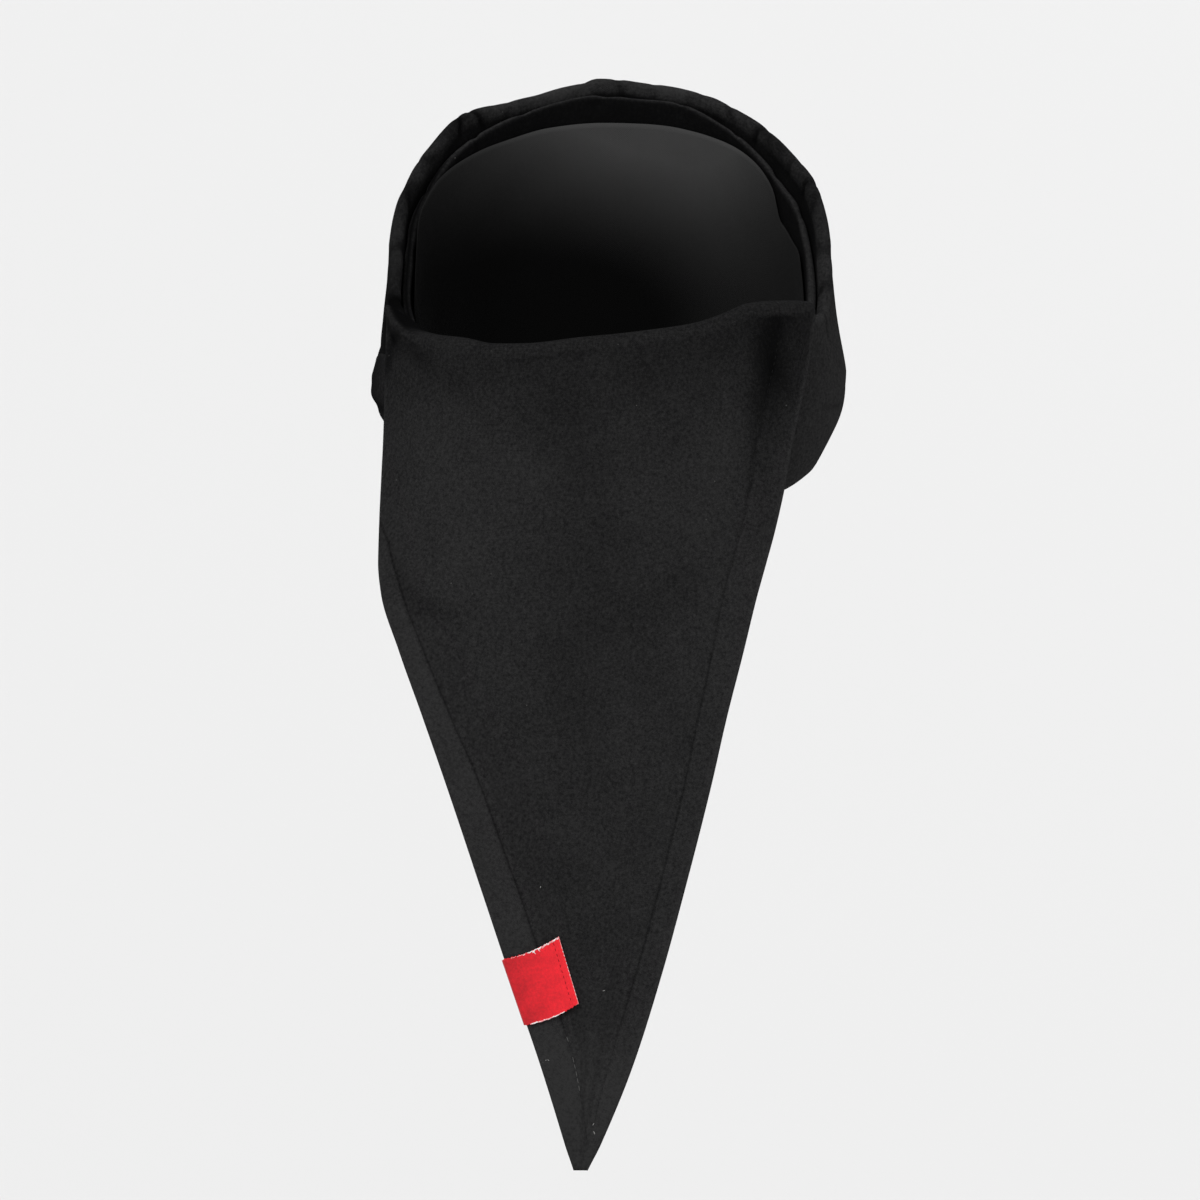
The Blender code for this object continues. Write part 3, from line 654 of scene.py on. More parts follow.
set_back += unevenness(turns * ARC + 0.3, middle_down, MIDDLE_WAVE)

# The crest is painted pale, partly rubbed and partly a painted highlight. Past turn 222 the crest,
# and the cloth to each side of it, lie in painted shade.
middle_wear_and_painted_light = RIDGE_RUBBED_AND_LIT * hump(middle_down, RIDGE_RUBBED_AND_LIT_WIDE)
middle_wear_and_painted_light *= 1.0 - 3.4 * ease(*RIDGE_PAINTED_SHADE_TURNS, turns)
middle_wear_and_painted_light -= BESIDE_RIDGE_PAINTED_SHADE * ease(0.0006, 0.0026, np.abs(middle_down))
middle = wound_shell("neck_band_middle", middle_points, turns, middle_down, set_back,
                     black_cloth, middle_wear_and_painted_light)
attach(middle, "root")
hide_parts("neck_band_middle")

# ================ inner stretch of the neck band
# The innermost stretch, smooth against the neck: the same cloth, with the hollow's light and shade
# painted on, a painted pale arch high at the nape and painted deep shade low down. It lies in the
# winding.

INNER = table(
    "turn top",
    (14, -14.6), (25, -13), (45, -5), (63, -4.6), (76, -4.2), (84, -1.4), (91, 4.2), (97, 12.4),
    (102, 20), (110, 25), (116, 30), (119, 33), (123, 45), (129.5, 53.4), (135.5, 58.5),
    (142, 62.5), (148.5, 65.6), (156, 68.4), (165, 70.8), (173, 71.7), (181, 72), (196, 70),
    (208.5, 65.6), (222, 60.5), (233, 54.7), (243.5, 48.2), (253.5, 39), (260, 30), (264, 22.5),
    (270, 12), (277, 2.4), (283, -5.5), (287, -11.8), (292, -12.4), (298, -13), (315, -16),
    (335, -17.5), (346, -17),
)
INNER_FOOT_RISE = 0.0030
INNER_COLUMNS = 280
INNER_ROWS = 44
# Where the painted light and the painted shade of the hollow lie.
GLOW_UNDER = (-0.0290, -0.0024)    # x and slant height of the middle of the dark place
GLOW_REACH = (0.1080, 0.0624)      # its reach sideways and upwards to the palest arch
GLOW_CREST = 0.0276                # x of the palest place on that arch
GLOW_LEFT = 0.0740                 # how far the pale reaches to the left of it
GLOW_RIGHT = 0.0400                # and to the right
GLOW_KEPT = 0.22                   # the least of the pale that is left further to the left
GLOW_SLANT = (0.9945, 0.1045)      # cosine and sine of the arch's slant of 6 degrees
INNER_WAVE = 0.00030
# The painted pale of the arch, and the painted shade deep in the hollow.
HOLLOW_PAINTED_LIGHT = (0.0475, 0.0475, 0.0475)
HOLLOW_PAINTED_SHADE = (0.0027, 0.0027, 0.0027)


def painted_hollow_light(wire, space):
    """Painted light and shade of the hollow: pale along an arch high at the nape, deep black under
    it.
    """
    x = wire.node("ShaderNodeSeparateXYZ", {}, {"Vector": space})
    slant = x.part(2) * GLOW_SLANT[0] + (x.part(1) + 0.04) * GLOW_SLANT[1]
    beside = (x - GLOW_UNDER[0]) / GLOW_REACH[0]
    above = (slant - GLOW_UNDER[1]) / GLOW_REACH[1]
    out = (beside * beside + above * above) ** 0.5
    rise = wire.maths("MAXIMUM", (out - 0.45) / 0.75, 0.0) ** 1.6
    along = x - GLOW_CREST
    on_right = wire.maths("GREATER_THAN", along, 0.0)
    spread = along / (GLOW_LEFT + on_right * (GLOW_RIGHT - GLOW_LEFT))
    kept = (1.0 - on_right) * GLOW_KEPT
    fading = kept + (1.0 - kept) * wire.maths("EXPONENT", spread * spread * -1.0)
    return (rise * fading).limited().blend_colours(HOLLOW_PAINTED_SHADE, HOLLOW_PAINTED_LIGHT)


# The lining's cloth: the painted light and shade of the hollow takes the place of its woven tone.
lining_cloth = black_cloth_finish("black weave, painted hollow light and shade", 0.35, 0.0, 0.015, painted_hollow_light)

inner_turn = np.linspace(INNER[0].turn, INNER[-1].turn, INNER_COLUMNS)
top = curve_of(INNER, "top")(inner_turn)
low = band("foot", inner_turn) + INNER_FOOT_RISE
lining_inset = band("lining", inner_turn) + PROUD
strip = flat_rows(INNER_ROWS, upright(lining_inset), low, top, 1.0, True)
inner_points, turns, inner_down = wound_sheet(inner_turn, strip, INNER_ROWS - 1)
wave = unevenness(turns * ARC + 0.7, inner_down, INNER_WAVE)
inner = wound_shell("neck_band_inner", inner_points, turns, inner_down, wave, lining_cloth)
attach(inner, "root")
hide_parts("neck_band_inner")

# ================ throat crossing
# The other end of the kerchief, which runs back over the throat from the right and tucks
# against the left side of the band. Two plies of the same cloth, its top and foot folded edges.

CROSS = table(
    "turn top foot",
    (-96, -27, -44.5), (-90, -21.5, -49), (-80, -18, -53), (-66, -18, -58), (-40, -22, -65),
    (0, -20, -68), (25, -14, -71.5), (43.5, -10, -72),
)
CROSS_LIFTED = 28.0           # by this turn it has risen clear of the band that it crosses
CROSS_CLEAR = 0.0009
CROSS_TUCKED = 3.5            # it goes this much further on, tucked in behind the outer stretch
CROSS_TUCK_IN = 0.0024
CROSS_COLUMNS = 170
CROSS_ROWS = {"behind": 6, "edge": 5, "face": 34}
CROSS_PRESSED = 14.0          # turns over which its end on the left thins out
CROSS_BEHIND = 0.0100         # the ply folded behind each edge
CROSS_CLOSE = 0.0011          # how much closer its end, and its edges there, are pressed
CROSS_THINNED = 0.75
# Painted shade over the whole crossing and more at its left end; its folded top edge rubbed pale.
CROSS_PAINTED_SHADE = -0.20
CROSS_TOP_PALE = 0.25
CROSS_LEFT_PAINTED_SHADE = 0.30
CROSS_CREASES = table(
    CREASE,
    (-95, 8, -74, 15, 3.2, 0.3), (-95, 18, -70, 20, 3, 0.2), (-92, 19, -40, 26, 3, 1.1),
    (-70, 29, 0, 34, 4, 0.9), (-30, 12, 34, 18, 3.6, 0.8),
)

cross_turn = np.linspace(CROSS[0].turn, CROSS[-1].turn + CROSS_TUCKED, CROSS_COLUMNS)
cross_top = curve_of(CROSS, "top")(cross_turn) - CLOTH / 2 - PROUD
cross_foot = curve_of(CROSS, "foot")(cross_turn) + CLOTH / 2 + PROUD
lift = (BAND_WALL + CROSS_CLEAR) * fade(CROSS_LIFTED, CROSS[-1].turn, cross_turn)
lift -= CROSS_TUCK_IN * ease(CROSS[-1].turn - 0.5, CROSS[-1].turn + 1.4, cross_turn)
pressed = fade(CROSS[0].turn, CROSS[0].turn + CROSS_PRESSED, cross_turn)


def cross_ply(height, side):
    """Inset of the crossing's outer ply (side -1) or of the ply behind it (side 1).

    At its end on the left, and at its edges there, it is pressed closer to the band.
    """
    near_edge = fade(0.0, 0.012, np.minimum(cross_top - height, height - cross_foot))
    thin = 1.0 - CROSS_THINNED * pressed
    close = CROSS_CLOSE * np.maximum(pressed, near_edge * fade(-84.0, -60.0, cross_turn))
    return outer_face_inset(cross_turn, height) - lift + close + side * PROUD * thin


strip = flat_rows(CROSS_ROWS["behind"], cross_ply, cross_foot + CROSS_BEHIND, cross_foot, 1.0)
strip += fold_rows(CROSS_ROWS["edge"], cross_ply, cross_foot, -1.0)
face_start = len(strip)
strip += flat_rows(CROSS_ROWS["face"], cross_ply, cross_foot, cross_top, -1.0)
face_end = len(strip)
strip += fold_rows(CROSS_ROWS["edge"], cross_ply, cross_top, 1.0)
strip += flat_rows(CROSS_ROWS["behind"], cross_ply, cross_top, cross_top - CROSS_BEHIND, 1.0, True)
cross_points, turns, cross_down = wound_sheet(cross_turn, strip, face_end)
set_back = wound_relief(CROSS_CREASES, turns, cross_down)
set_back[:face_start] = 0.0
set_back[face_end + 1:] = 0.0
from_top_row = np.arange(len(strip))[:, None] - face_end
# Painted shade all over, deeper at the left end and in the creases, and painted light where they
# stand out; the top edge rubbed pale.
cross_wear_and_painted_light = CROSS_PAINTED_SHADE - CROSS_LEFT_PAINTED_SHADE * fade(-84.0, -66.0, turns)
cross_wear_and_painted_light = cross_wear_and_painted_light + CROSS_TOP_PALE * hump(from_top_row, 1.2)
cross_wear_and_painted_light -= PINCH_PAINTED_SHADE * np.clip(set_back, -0.0010, 0.0014)
cross = wound_shell("throat_cross", cross_points, turns, cross_down, set_back, black_cloth,
                    cross_wear_and_painted_light)
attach(cross, "root")
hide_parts("throat_cross")

# ================ hanging point
# The kerchief's own end: it comes up inside the band at the throat, turns over the rim and
# hangs down the chest to a blunt point. One ply of the cloth between its two turned hems,
# gathered a little at the top left, where more cloth is drawn over the rim.

FALL_WALL = 0.0014
FALL_PROUD = (FALL_WALL - CLOTH) / 2
CREST = table(
    "turn height lean rise",
    (-73, 3.6, 12, 1.4), (-66, -2.2, 6.8, 2.4), (-57, -5.9, 3.2, 4), (-51, -7.1, 2, 5.2),
    (-38, -8, 1.5, 6.2), (-28, -9.8, 1.5, 6.2), (-18, -9.5, 1.5, 6.2), (-5, -7, 1.5, 6.2),
    (7, -4.6, 1.5, 6.2), (22, -1.4, 1.5, 6.2), (30, 1.9, 1.5, 6.2), (39, 5.7, 1.5, 6.2),
    (47, 6.2, 1.5, 6.2), (60, 5.8, 1.5, 6.2), (70.5, 5, 1.5, 6.2),
)
ARCH_SQUARE = 0.62            # below 1 the cloth turns over more sharply at the front
FALL_IN = 0.0019              # how far its inner leg lies inside the innermost stretch
INNER_LEG_FOOT = -0.0520
FALL = table(
    "height left right front half_width flatten",
    (4, -89.3, 82.4, -85.2, 96, 0), (-2, -89.2, 81.2, -85.6, 96, 0),
    (-8, -89, 80.3, -86.2, 96.1, 0), (-17, -89.1, 79, -87.1, 96.6, 0.05),
    (-33, -89.5, 75.7, -88.4, 98, 0.1), (-51, -90, 71.6, -89.8, 100.5, 0.2),
    (-66, -90.7, 68.9, -91.4, 104, 0.3), (-84, -91.4, 64.6, -93.8, 112, 0.5),
    (-97, -91.6, 60.8, -95.7, 121, 0.6), (-109, -90.2, 57.3, -97.6, 132, 0.7),
    (-130, -83, 52, -100.7, 148, 0.8), (-154, -73.9, 45.7, -104.3, 170, 0.9),
    (-183, -63.4, 38.9, -108.8, 200, 1), (-220, -50.7, 29.3, -114.5, 240, 1),
    (-255, -38.8, 19.6, -119.8, 280, 1), (-290, -26.7, 8.3, -125, 320, 1),
    (-318, -17.9, -3.3, -129.2, 360, 1), (-329, -14.6, -8.5, -130.5, 380, 1),
)
FALL_DEPTH = 0.0850           # front-to-back half size of the round that it bends to
FALL_TIP = -0.3290

# Folds of the hanging cloth, each a trough along a line, seen from the front.
FOLDS = table(
    "x z to_x to_z width depth",
    (66, -8, 56, -90, 7.5, 0.9), (50, -12, 42, -130, 12, -0.6), (-84, -6, -70, -24, 4.4, 0.5),
    (-80, -8, -56, -34, 5, 0.4), (-60, -20, -64, -160, 16, -0.7), (-20, -14, -10, -200, 18, 0.6),
    (-38, -12.2, -6, -11.8, 4, 1.4), (-87.2, 3, -81.6, -10, 1.6, -1.6),
    (-88.6, -0.5, -84.6, -15, 1.1, 1.2), (-85.2, -11, -84.6, -24, 1.2, -0.5),
    (-79.4, -5, -77.4, -14, 2, 1), (65, 1, 61.5, -32, 6, 0.8), (74, 0, 71.5, -30, 3.6, -0.3),
    (-90, -98, -56, -124, 6, 0.8), (-86.4, -88, -85.6, -92.5, 1, 0.6), (40, -80, 6, -150, 11, 0.4),
    (-50, -50, 0, -90, 13, -0.3), (-30, -200, 5, -260, 9, 0.3),
)

# The stitch rows: how far from its edge each row of the two hems lies.
SEAM_LEFT = table(
    "height inset",
    (-82, 0.8), (-90, 4.2), (-109.4, 8.5), (-129, 9.2), (-161.3, 10.8), (-176.4, 12.2),
    (-208.4, 13), (-228, 13.5), (-279.7, 13), (-300.2, 11.2), (-318, 8.5),
)
SEAM_RIGHT = table(
    "height inset",
    (-4, 14), (-40, 14.6), (-82, 13.4), (-109.4, 12.8), (-140, 11.2), (-176.4, 10.2), (-228, 9.6),
    (-270, 9.5), (-300, 7.5), (-312, 5),
)
SEAM_TROUGH = 0.00028
SEAM_WIDTH = 0.0009
HEM_RAISED = 0.00022          # how far the turned edge behind lifts the cloth
STITCH_PITCH = 0.0028
PUCKER = 0.00009              # how deep the cloth is drawn in between stitches
PUCKER_LONG = 0.0087          # and in longer waves along the row
PUCKER_WIDE = 0.0030
SEAM_END = 0.004              # over this length a row's trough dies away
SEAM_FAINT = (-0.070, -0.030)   # between these heights the rows grow faint
EDGE_STEP = 0.0040            # half the length over which an edge's slant is taken
SEAM_PLACE = 0.8              # the share of a hem's columns that lies outside its stitch row

FOLD_BACK = -0.00095          # where the turned ply lies behind the front one, seam side
FALL_COLUMNS = {"wrap": 8, "hem": 22, "middle": 88}
FALL_ROWS = {"leg": 10, "arch": 20, "top": 52, "hang": 172}
TOP_PART = 0.16               # share of the hanging length that has the finer rows

SIDES = ("left", "right")
INWARDS = {"left": 1.0, "right": -1.0}
seams = {"left": SEAM_LEFT, "right": SEAM_RIGHT}
seam_curves = {side: curve_of(seams[side], "inset") for side in SIDES}
fall_curves = curves_of(FALL)


def fall(column, z):
    """A column of the hanging cloth's table at any height."""
    return fall_curves[column](z)


def edge_slant(side, z):
    """Cosine of an edge's slant from upright, seen from the front."""
    run = fall(side, z - EDGE_STEP) - fall(side, z + EDGE_STEP)
    return 2 * EDGE_STEP / np.hypot(run, 2 * EDGE_STEP)


def inset_from(side, x, z):
    """Distance of a place from one edge of the hanging cloth."""
    return INWARDS[side] * (x - fall(side, z)) * edge_slant(side, z)


def off_seam(side, x, z):
    """Distance from a stitch row, negative on the side of its edge."""
    return inset_from(side, x, z) - seam_curves[side](z)


def seam_shown(side, z, soft):
    """1 along a stitch row, dying away past its two ends."""
    low_end, high_end = seams[side][-1].height, seams[side][0].height
    return ease(low_end - soft, low_end, z) * fade(high_end, high_end + soft, z)


def sewn_relief(x, z):
    """The stitch rows' troughs and puckers, and the strips that the turned edges lift."""
    pucker = np.sin(math.pi * z / STITCH_PITCH) + np.sin(math.pi * z / PUCKER_LONG)
    total = np.zeros(np.broadcast(x, z).shape)
    for side in SIDES:
        off = off_seam(side, x, z)
        relief = SEAM_TROUGH * hump(off, SEAM_WIDTH) + PUCKER * pucker * hump(off, PUCKER_WIDE)
        relief -= HEM_RAISED * fade(-0.0012, 0.0004, off)
        total += relief * seam_shown(side, z, SEAM_END) * (1.0 - 0.75 * ease(*SEAM_FAINT, z))
    return total


def folds_at(x, z):
    """How far the folds of the hanging cloth set it back."""
    return unevenness(x, z, 0.00018) + sum(
        trough_relief(x, z, row[:2], row[2:4], row.width, row.depth) for row in FOLDS)


def fall_surface(x, z, sewn=True):
    """Points of the hanging layer's middle."""
    half_width = fall("half_width", z)
    share = np.minimum(np.abs(x) / half_width, 1.0)
    bend = 1.0 - (1.0 - share ** NECK_FULLNESS) ** (1.0 / NECK_FULLNESS)
    y = fall("front", z) + FALL_DEPTH * bend + folds_at(x, z)
    if sewn:
        y = y + sewn_relief(x, z)
    return np.stack(np.broadcast_arrays(x, y, z), axis=-1)


def fall_spot(x, z, lift, sewn=True):
    """Points beside the hanging layer: lift is along its outward face, towards the viewer."""
    step = 0.0005
    along_x = fall_surface(x + step, z, sewn) - fall_surface(x - step, z, sewn)
    along_z = fall_surface(x, z + step, sewn) - fall_surface(x, z - step, sewn)
    return fall_surface(x, z, sewn) + unit(np.cross(along_x, along_z)) * lift[..., None]


def hem_share(side, z):
    """Share of the cloth's width that the columns of one hem take at a height."""
    width = fall("right", z) - fall("left", z)
    inset = np.maximum(seam_curves[side](z), 0.0060)
    return np.minimum(inset / edge_slant(side, z) / SEAM_PLACE / width, 0.42)


def spread_columns(across, z):
    """Even steps across, with as many in the two narrow hems as make them fine."""
    hem, middle = FALL_COLUMNS["hem"], FALL_COLUMNS["middle"]
    hem_part = hem / (2 * hem + middle)
    left_edge, right_edge = hem_share("left", z), hem_share("right", z)
    left = across / hem_part * left_edge
    right = 1.0 - (1.0 - across) / hem_part * right_edge
    centre = mix(left_edge, 1.0 - right_edge, (across - hem_part) / (1.0 - 2 * hem_part))
    return np.where(across < hem_part, left, np.where(across > 1.0 - hem_part, right, centre))


crest_curves = curves_of(CREST)
CREST_LEFT, CREST_RIGHT = float(CREST[0].turn), float(CREST[-1].turn)
EDGE_IN = 0.0008              # the front ply stops this far inside the edge, where it turns
HEM_RUBBED_AND_LIT = {"left": 0.54, "right": 0.14}   # how much the hems and their edges are painted pale, partly rubbed and partly painted light,
EDGE_RUBBED_AND_LIT = {"left": 0.15, "right": 0.90}
EDGE_RUBBED_AND_LIT_WIDE = 0.0012
SEAM_PAINTED_SHADE = {"left": 0.44, "right": 0.36}  # and how deep in painted shade their stitch rows lie
SEAM_PAINTED_SHADE_WIDE = 0.0006
TIP_PAINTED_LIGHT = 1.00               # painted light: the tip is painted paler
TOP_PAINTED_SHADE = 0.30              # painted shade towards the turned-over edge
TOP_RIGHT_PAINTED_SHADE = 0.40        # painted shade in the hollow at the top right
FALL_RIDGE_PAINTED_SHADE = 0.45            # and painted shade beside the ridge at the top left
RIM_PAINTED_SHADES = (-0.9, -0.2, -1.0)   # painted shade inside, over the rim, and where it is drawn over at the left
EDGE_PRESSED = 0.00030        # radius of the turned edge where it is pressed flat
EDGE_BACK = (0.0006, 0.0012)  # how far its last columns reach back behind the front ply


def edge_room(side, z):
    """How far in the front ply stops, seen from the front: less where the edge faces sideways."""
    edge, step = fall(side, z), 0.001
    first = fall_surface(edge, z, False)
    second = fall_surface(edge + INWARDS[side] * step, z, False)
    return EDGE_IN * step / np.hypot(step, second[..., 1] - first[..., 1])


def fall_x(share, z):
    """How far across the cloth a share of its width stands, at a height."""
    turn = mix(CREST_LEFT, CREST_RIGHT, share)
    left = round_of_neck(CREST_LEFT)[0]
    right = round_of_neck(CREST_RIGHT)[0]
    bent = (round_of_neck(turn)[0] - left) / (right - left)
    spaced = mix(bent, share, fall("flatten", z))
    return mix(fall("left", z) + edge_room("left", z),
               fall("right", z) - edge_room("right", z), spaced)


across = np.linspace(0.0, 1.0, 2 * FALL_COLUMNS["hem"] + FALL_COLUMNS["middle"])[None, :]
top_share = spread_columns(across, 0.0)
turn = mix(CREST_LEFT, CREST_RIGHT, top_share)
rise = crest_curves["rise"](turn)
spring = crest_curves["height"](turn) - FALL_WALL / 2 - rise
inside = band("lining", turn) + FALL_IN
rows_of_points = []
inner_spring = spring - crest_curves["lean"](turn)
for share in np.linspace(0.0, 1.0, FALL_ROWS["leg"], endpoint=False):
    height = mix(INNER_LEG_FOOT, inner_spring, share)
    rows_of_points.append(neck_points(turn, inside, height))
outer_end = fall_surface(fall_x(top_share, spring), spring)
inner_end = neck_points(turn, inside, inner_spring)
for share in np.linspace(0.0, 1.0, FALL_ROWS["arch"], endpoint=False):
    angle = math.pi * share
    square = 1.0 if share < 0.5 else ARCH_SQUARE
    reach = 0.5 - 0.5 * math.copysign(abs(math.cos(angle)) ** square, math.cos(angle))
    points = mix(inner_end, outer_end, reach)
    arched = rise * max(math.sin(angle), 0.0) ** square
    points[..., 2] = mix(inner_spring, spring, reach) + arched
    rows_of_points.append(points)
top_shares = np.linspace(0.0, TOP_PART, FALL_ROWS["top"], endpoint=False)
hang_shares = np.linspace(TOP_PART, 1.0, FALL_ROWS["hang"])
for share in (*top_shares, *hang_shares):
    z = mix(spring, FALL_TIP, share)
    rows_of_points.append(fall_surface(fall_x(spread_columns(across, z), z), z))
fall_points = np.concatenate(rows_of_points, axis=0)
x_at, z_at = fall_points[..., 0], fall_points[..., 2]
# Painted light at the tip and on the folds' ridges; painted shade towards the top, in the folds'
# troughs and along the stitch rows; the hems and their edges painted pale, partly rubbed and partly
# painted light.
fall_wear_and_painted_light = TIP_PAINTED_LIGHT * fade(-0.308, -0.262, z_at) - TOP_PAINTED_SHADE * ease(-0.060, 0.0, z_at)
fall_wear_and_painted_light -= PINCH_PAINTED_SHADE * folds_at(x_at, z_at)
for side in SIDES:
    inset, seam_in = inset_from(side, x_at, z_at), seam_curves[side](z_at)
    hem_rub_and_light = HEM_RUBBED_AND_LIT[side] * fade(-0.0016, 0.0004, inset - np.maximum(seam_in, 0.004))
    if side == "left":
        hem_rub_and_light *= fade(-0.130, -0.080, z_at)
    stitch_row_shade = SEAM_PAINTED_SHADE[side] * hump(inset - seam_in, SEAM_PAINTED_SHADE_WIDE)
    stitch_row_shade *= seam_shown(side, z_at, 0.002)
    fall_wear_and_painted_light += hem_rub_and_light - stitch_row_shade * (1.0 - 0.85 * ease(*SEAM_FAINT, z_at))
    fall_wear_and_painted_light += EDGE_RUBBED_AND_LIT[side] * hump(inset, EDGE_RUBBED_AND_LIT_WIDE)
# Painted shade beside the ridge at the top left and in the hollow at the top right.
ridge_shade_mask = hump(x_at + 0.0862 - 0.30 * (z_at + 0.014), 0.0024)
ridge_shade_mask *= ease(-0.034, -0.022, z_at) * fade(-0.010, -0.002, z_at)
top_right_shade_mask = hump(x_at - 0.068, 0.011) * ease(-0.070, -0.020, z_at)
fall_wear_and_painted_light -= FALL_RIDGE_PAINTED_SHADE * ridge_shade_mask + TOP_RIGHT_PAINTED_SHADE * top_right_shade_mask
# Over the rim the cloth is all in painted shade, deepest inside and where it is drawn over at the
# left.
first_hang = FALL_ROWS["leg"] + FALL_ROWS["arch"]
over_rim = (np.arange(first_hang) / first_hang)[:, None]
drawn_over = fade(-64.0, -52.0, turn) * fade(0.80, 0.98, over_rim)
inside_painted_shade, rim_painted_shade, drawn_painted_shade = RIM_PAINTED_SHADES
over_rim_painted_shade = mix(inside_painted_shade, rim_painted_shade, ease(0.0, 1.0, over_rim))
fall_wear_and_painted_light[:first_hang] = mix(over_rim_painted_shade, drawn_painted_shade, drawn_over)
outward = -normals_of(fall_points)
fall_points = fall_points + outward * FALL_PROUD

# Each edge turns back behind the front ply, and the hem pieces go on from there.
full_radius = (FALL_PROUD - FOLD_BACK) / 2


def wrapped_edge(side):
    """The columns that carry the cloth round an edge, outermost last."""
    column, beside = {"left": (0, 1), "right": (-1, -2)}[side]
    edge, face = fall_points[:, column], outward[:, column]
    z = edge[:, 2]
    opened = fade(-0.026, -0.014, z) * ease(FALL_TIP, FALL_TIP + 0.010, z)
    opened[:first_hang] = 0.0
    radius = mix(EDGE_PRESSED, full_radius, opened)[:, None]
    out = edge - fall_points[:, beside]
    out = unit(out - face * np.sum(out * face, axis=-1, keepdims=True))
    columns = []
    for step in range(1, FALL_COLUMNS["wrap"]):
        angle = math.pi * step / (FALL_COLUMNS["wrap"] - 1)
        columns.append(edge + out * radius * math.sin(angle)
                       - face * radius * (1.0 - math.cos(angle)))
    for back in EDGE_BACK:
        columns.append(edge - out * back - face * 2 * radius)
    return columns


left_wrap = np.stack(wrapped_edge("left")[::-1], axis=1)
right_wrap = np.stack(wrapped_edge("right"), axis=1)
fall_points = np.concatenate((left_wrap, fall_points, right_wrap), axis=1)
wrapped = left_wrap.shape[1]
fall_wear_and_painted_light = np.pad(fall_wear_and_painted_light, ((0, 0), (wrapped, wrapped)), mode="edge")
crest_row = FALL_ROWS["leg"] + FALL_ROWS["arch"] // 2
fall_down = run_down(fall_points, crest_row)
widths = np.linalg.norm(np.diff(fall_points, axis=1), axis=-1)
fall_across = np.concatenate((np.zeros((len(fall_points), 1)), np.cumsum(widths, axis=1)), axis=1)
fall_across -= fall_across[:, -1:]
fall_grain = np.stack((fall_across, fall_down), axis=-1)

front_fall = cloth_shell("front_fall_cloth", fall_points[:, ::-1], fall_grain[:, ::-1],
                         black_cloth, wear_and_painted_light=fall_wear_and_painted_light[:, ::-1])
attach(front_fall, "root")
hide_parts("front_fall")

# ================ turned hems
# The kerchief's edge, turned under and stitched down behind each side of the point. At the
# top left the kerchief's edge itself is folded under, so the turned part widens there.

HEM_FOOT = -0.3120
HEM_TOP = -0.0300
RETURN_WIDTH = 0.0360         # width of the left turned part at its top, where it is widest
RETURN_TOP = -0.0180
RETURN_CORNER = -0.1100       # below here it is as narrow as this
RETURN_LEAST = 0.0145
HEM_PAST_SEAM = 0.0014        # how far the turned edge reaches past its stitch row
HEM_GRID = (20, 210)
HEM_START = 0.0022            # where the turned ply goes on from the wrapped edge
HEM_SHORT = 0.0006            # it stops this far short of the middle at the tip
HEM_DRAWN = 0.00035           # how far its stitches draw it forward
HEM_TUCK = 0.0011             # its free edge curls forward over this width
HEM_CURL = 0.00055


def hem_width(side, z):
    """Width of the turned ply at a height."""
    wide = seam_curves[side](z) + HEM_PAST_SEAM
    if side == "left":
        folded = mix(RETURN_LEAST, RETURN_WIDTH, ease(RETURN_CORNER, RETURN_TOP, z))
        wide = np.maximum(wide, folded)
    return wide


def hem_cloth(side, top):
    """The turned ply of one hem, from its top to its foot, for the solid of that name."""
    columns, rows = HEM_GRID
    z = np.linspace(top, HEM_FOOT, rows)[:, None]
    room = 0.5 * (fall("right", z) - fall("left", z)) - HEM_SHORT
    wide = np.minimum(hem_width(side, z) / edge_slant(side, z), room)
    step = mix(HEM_START, wide, np.linspace(0.0, 1.0, columns)[None, :])
    x = fall(side, z) + INWARDS[side] * step
    drawn = seam_shown(side, z, SEAM_END) * hump(off_seam(side, x, z), SEAM_WIDTH)
    lift = FOLD_BACK + HEM_DRAWN * drawn + HEM_CURL * ease(wide - HEM_TUCK, wide, step)
    points = fall_spot(x, z, lift)
    down = run_down(points, 0)
    grain = np.stack((step, down), axis=-1)
    if side == "left":
        points, grain = points[:, ::-1], grain[:, ::-1]
    piece = cloth_shell(f"hem_{side}_cloth", points, grain, black_cloth)
    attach(piece, "root")
    return piece


left_hem = hem_cloth("left", RETURN_TOP)
right_hem = hem_cloth("right", HEM_TOP)
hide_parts("hem_left")
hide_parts("hem_right")

# ================ hem stitching
# Two rows of lockstitch in black thread, a thread on the front and one on the back of each
# hem. Each stitch dips into the cloth at its ends; a few of the left row have caught lint.

THREAD = 0.00034              # how thick the thread is
STITCH_LONG = 0.0023
THREAD_BLACK = (0.0090, 0.0090, 0.0094)
THREAD_LINTED = (0.100, 0.100, 0.098)
STITCH_SUNK = 0.00009         # how far it is drawn into the cloth
LINT_PROUD = 0.00010          # how far the lint stands off the stitch
LINT_WAVE = 9100.0            # a wave down the row: where it is above the least, lint has caught
LINT_LEAST = -0.15
# Between each pair of heights, lint may have caught.
LINTED = ((-0.1755, -0.1790), (-0.2070, -0.2090), (-0.2275, -0.2300), (-0.2762, -0.3050))
FLUFF = table(
    "x z slant long",
    (-2.5, -259.9, 20, 1), (-27.2, -220.2, 75, 0.9), (-24.1, -286.6, -30, 0.8),
    (-6.7, -311.2, 60, 1.1), (-6.2, -314.5, -70, 1.3), (-25, -286.6, 40, 0.6),
)
FLUFF_PALE = (0.30, 0.30, 0.29)
FLUFF_WIDE = 0.00032
FLUFF_THICK = 0.00022
FLUFF_LIFT = 0.00005          # how far its middle lies over the cloth
SPOT_STEP = 0.0005            # from a spot to the ones that give its directions


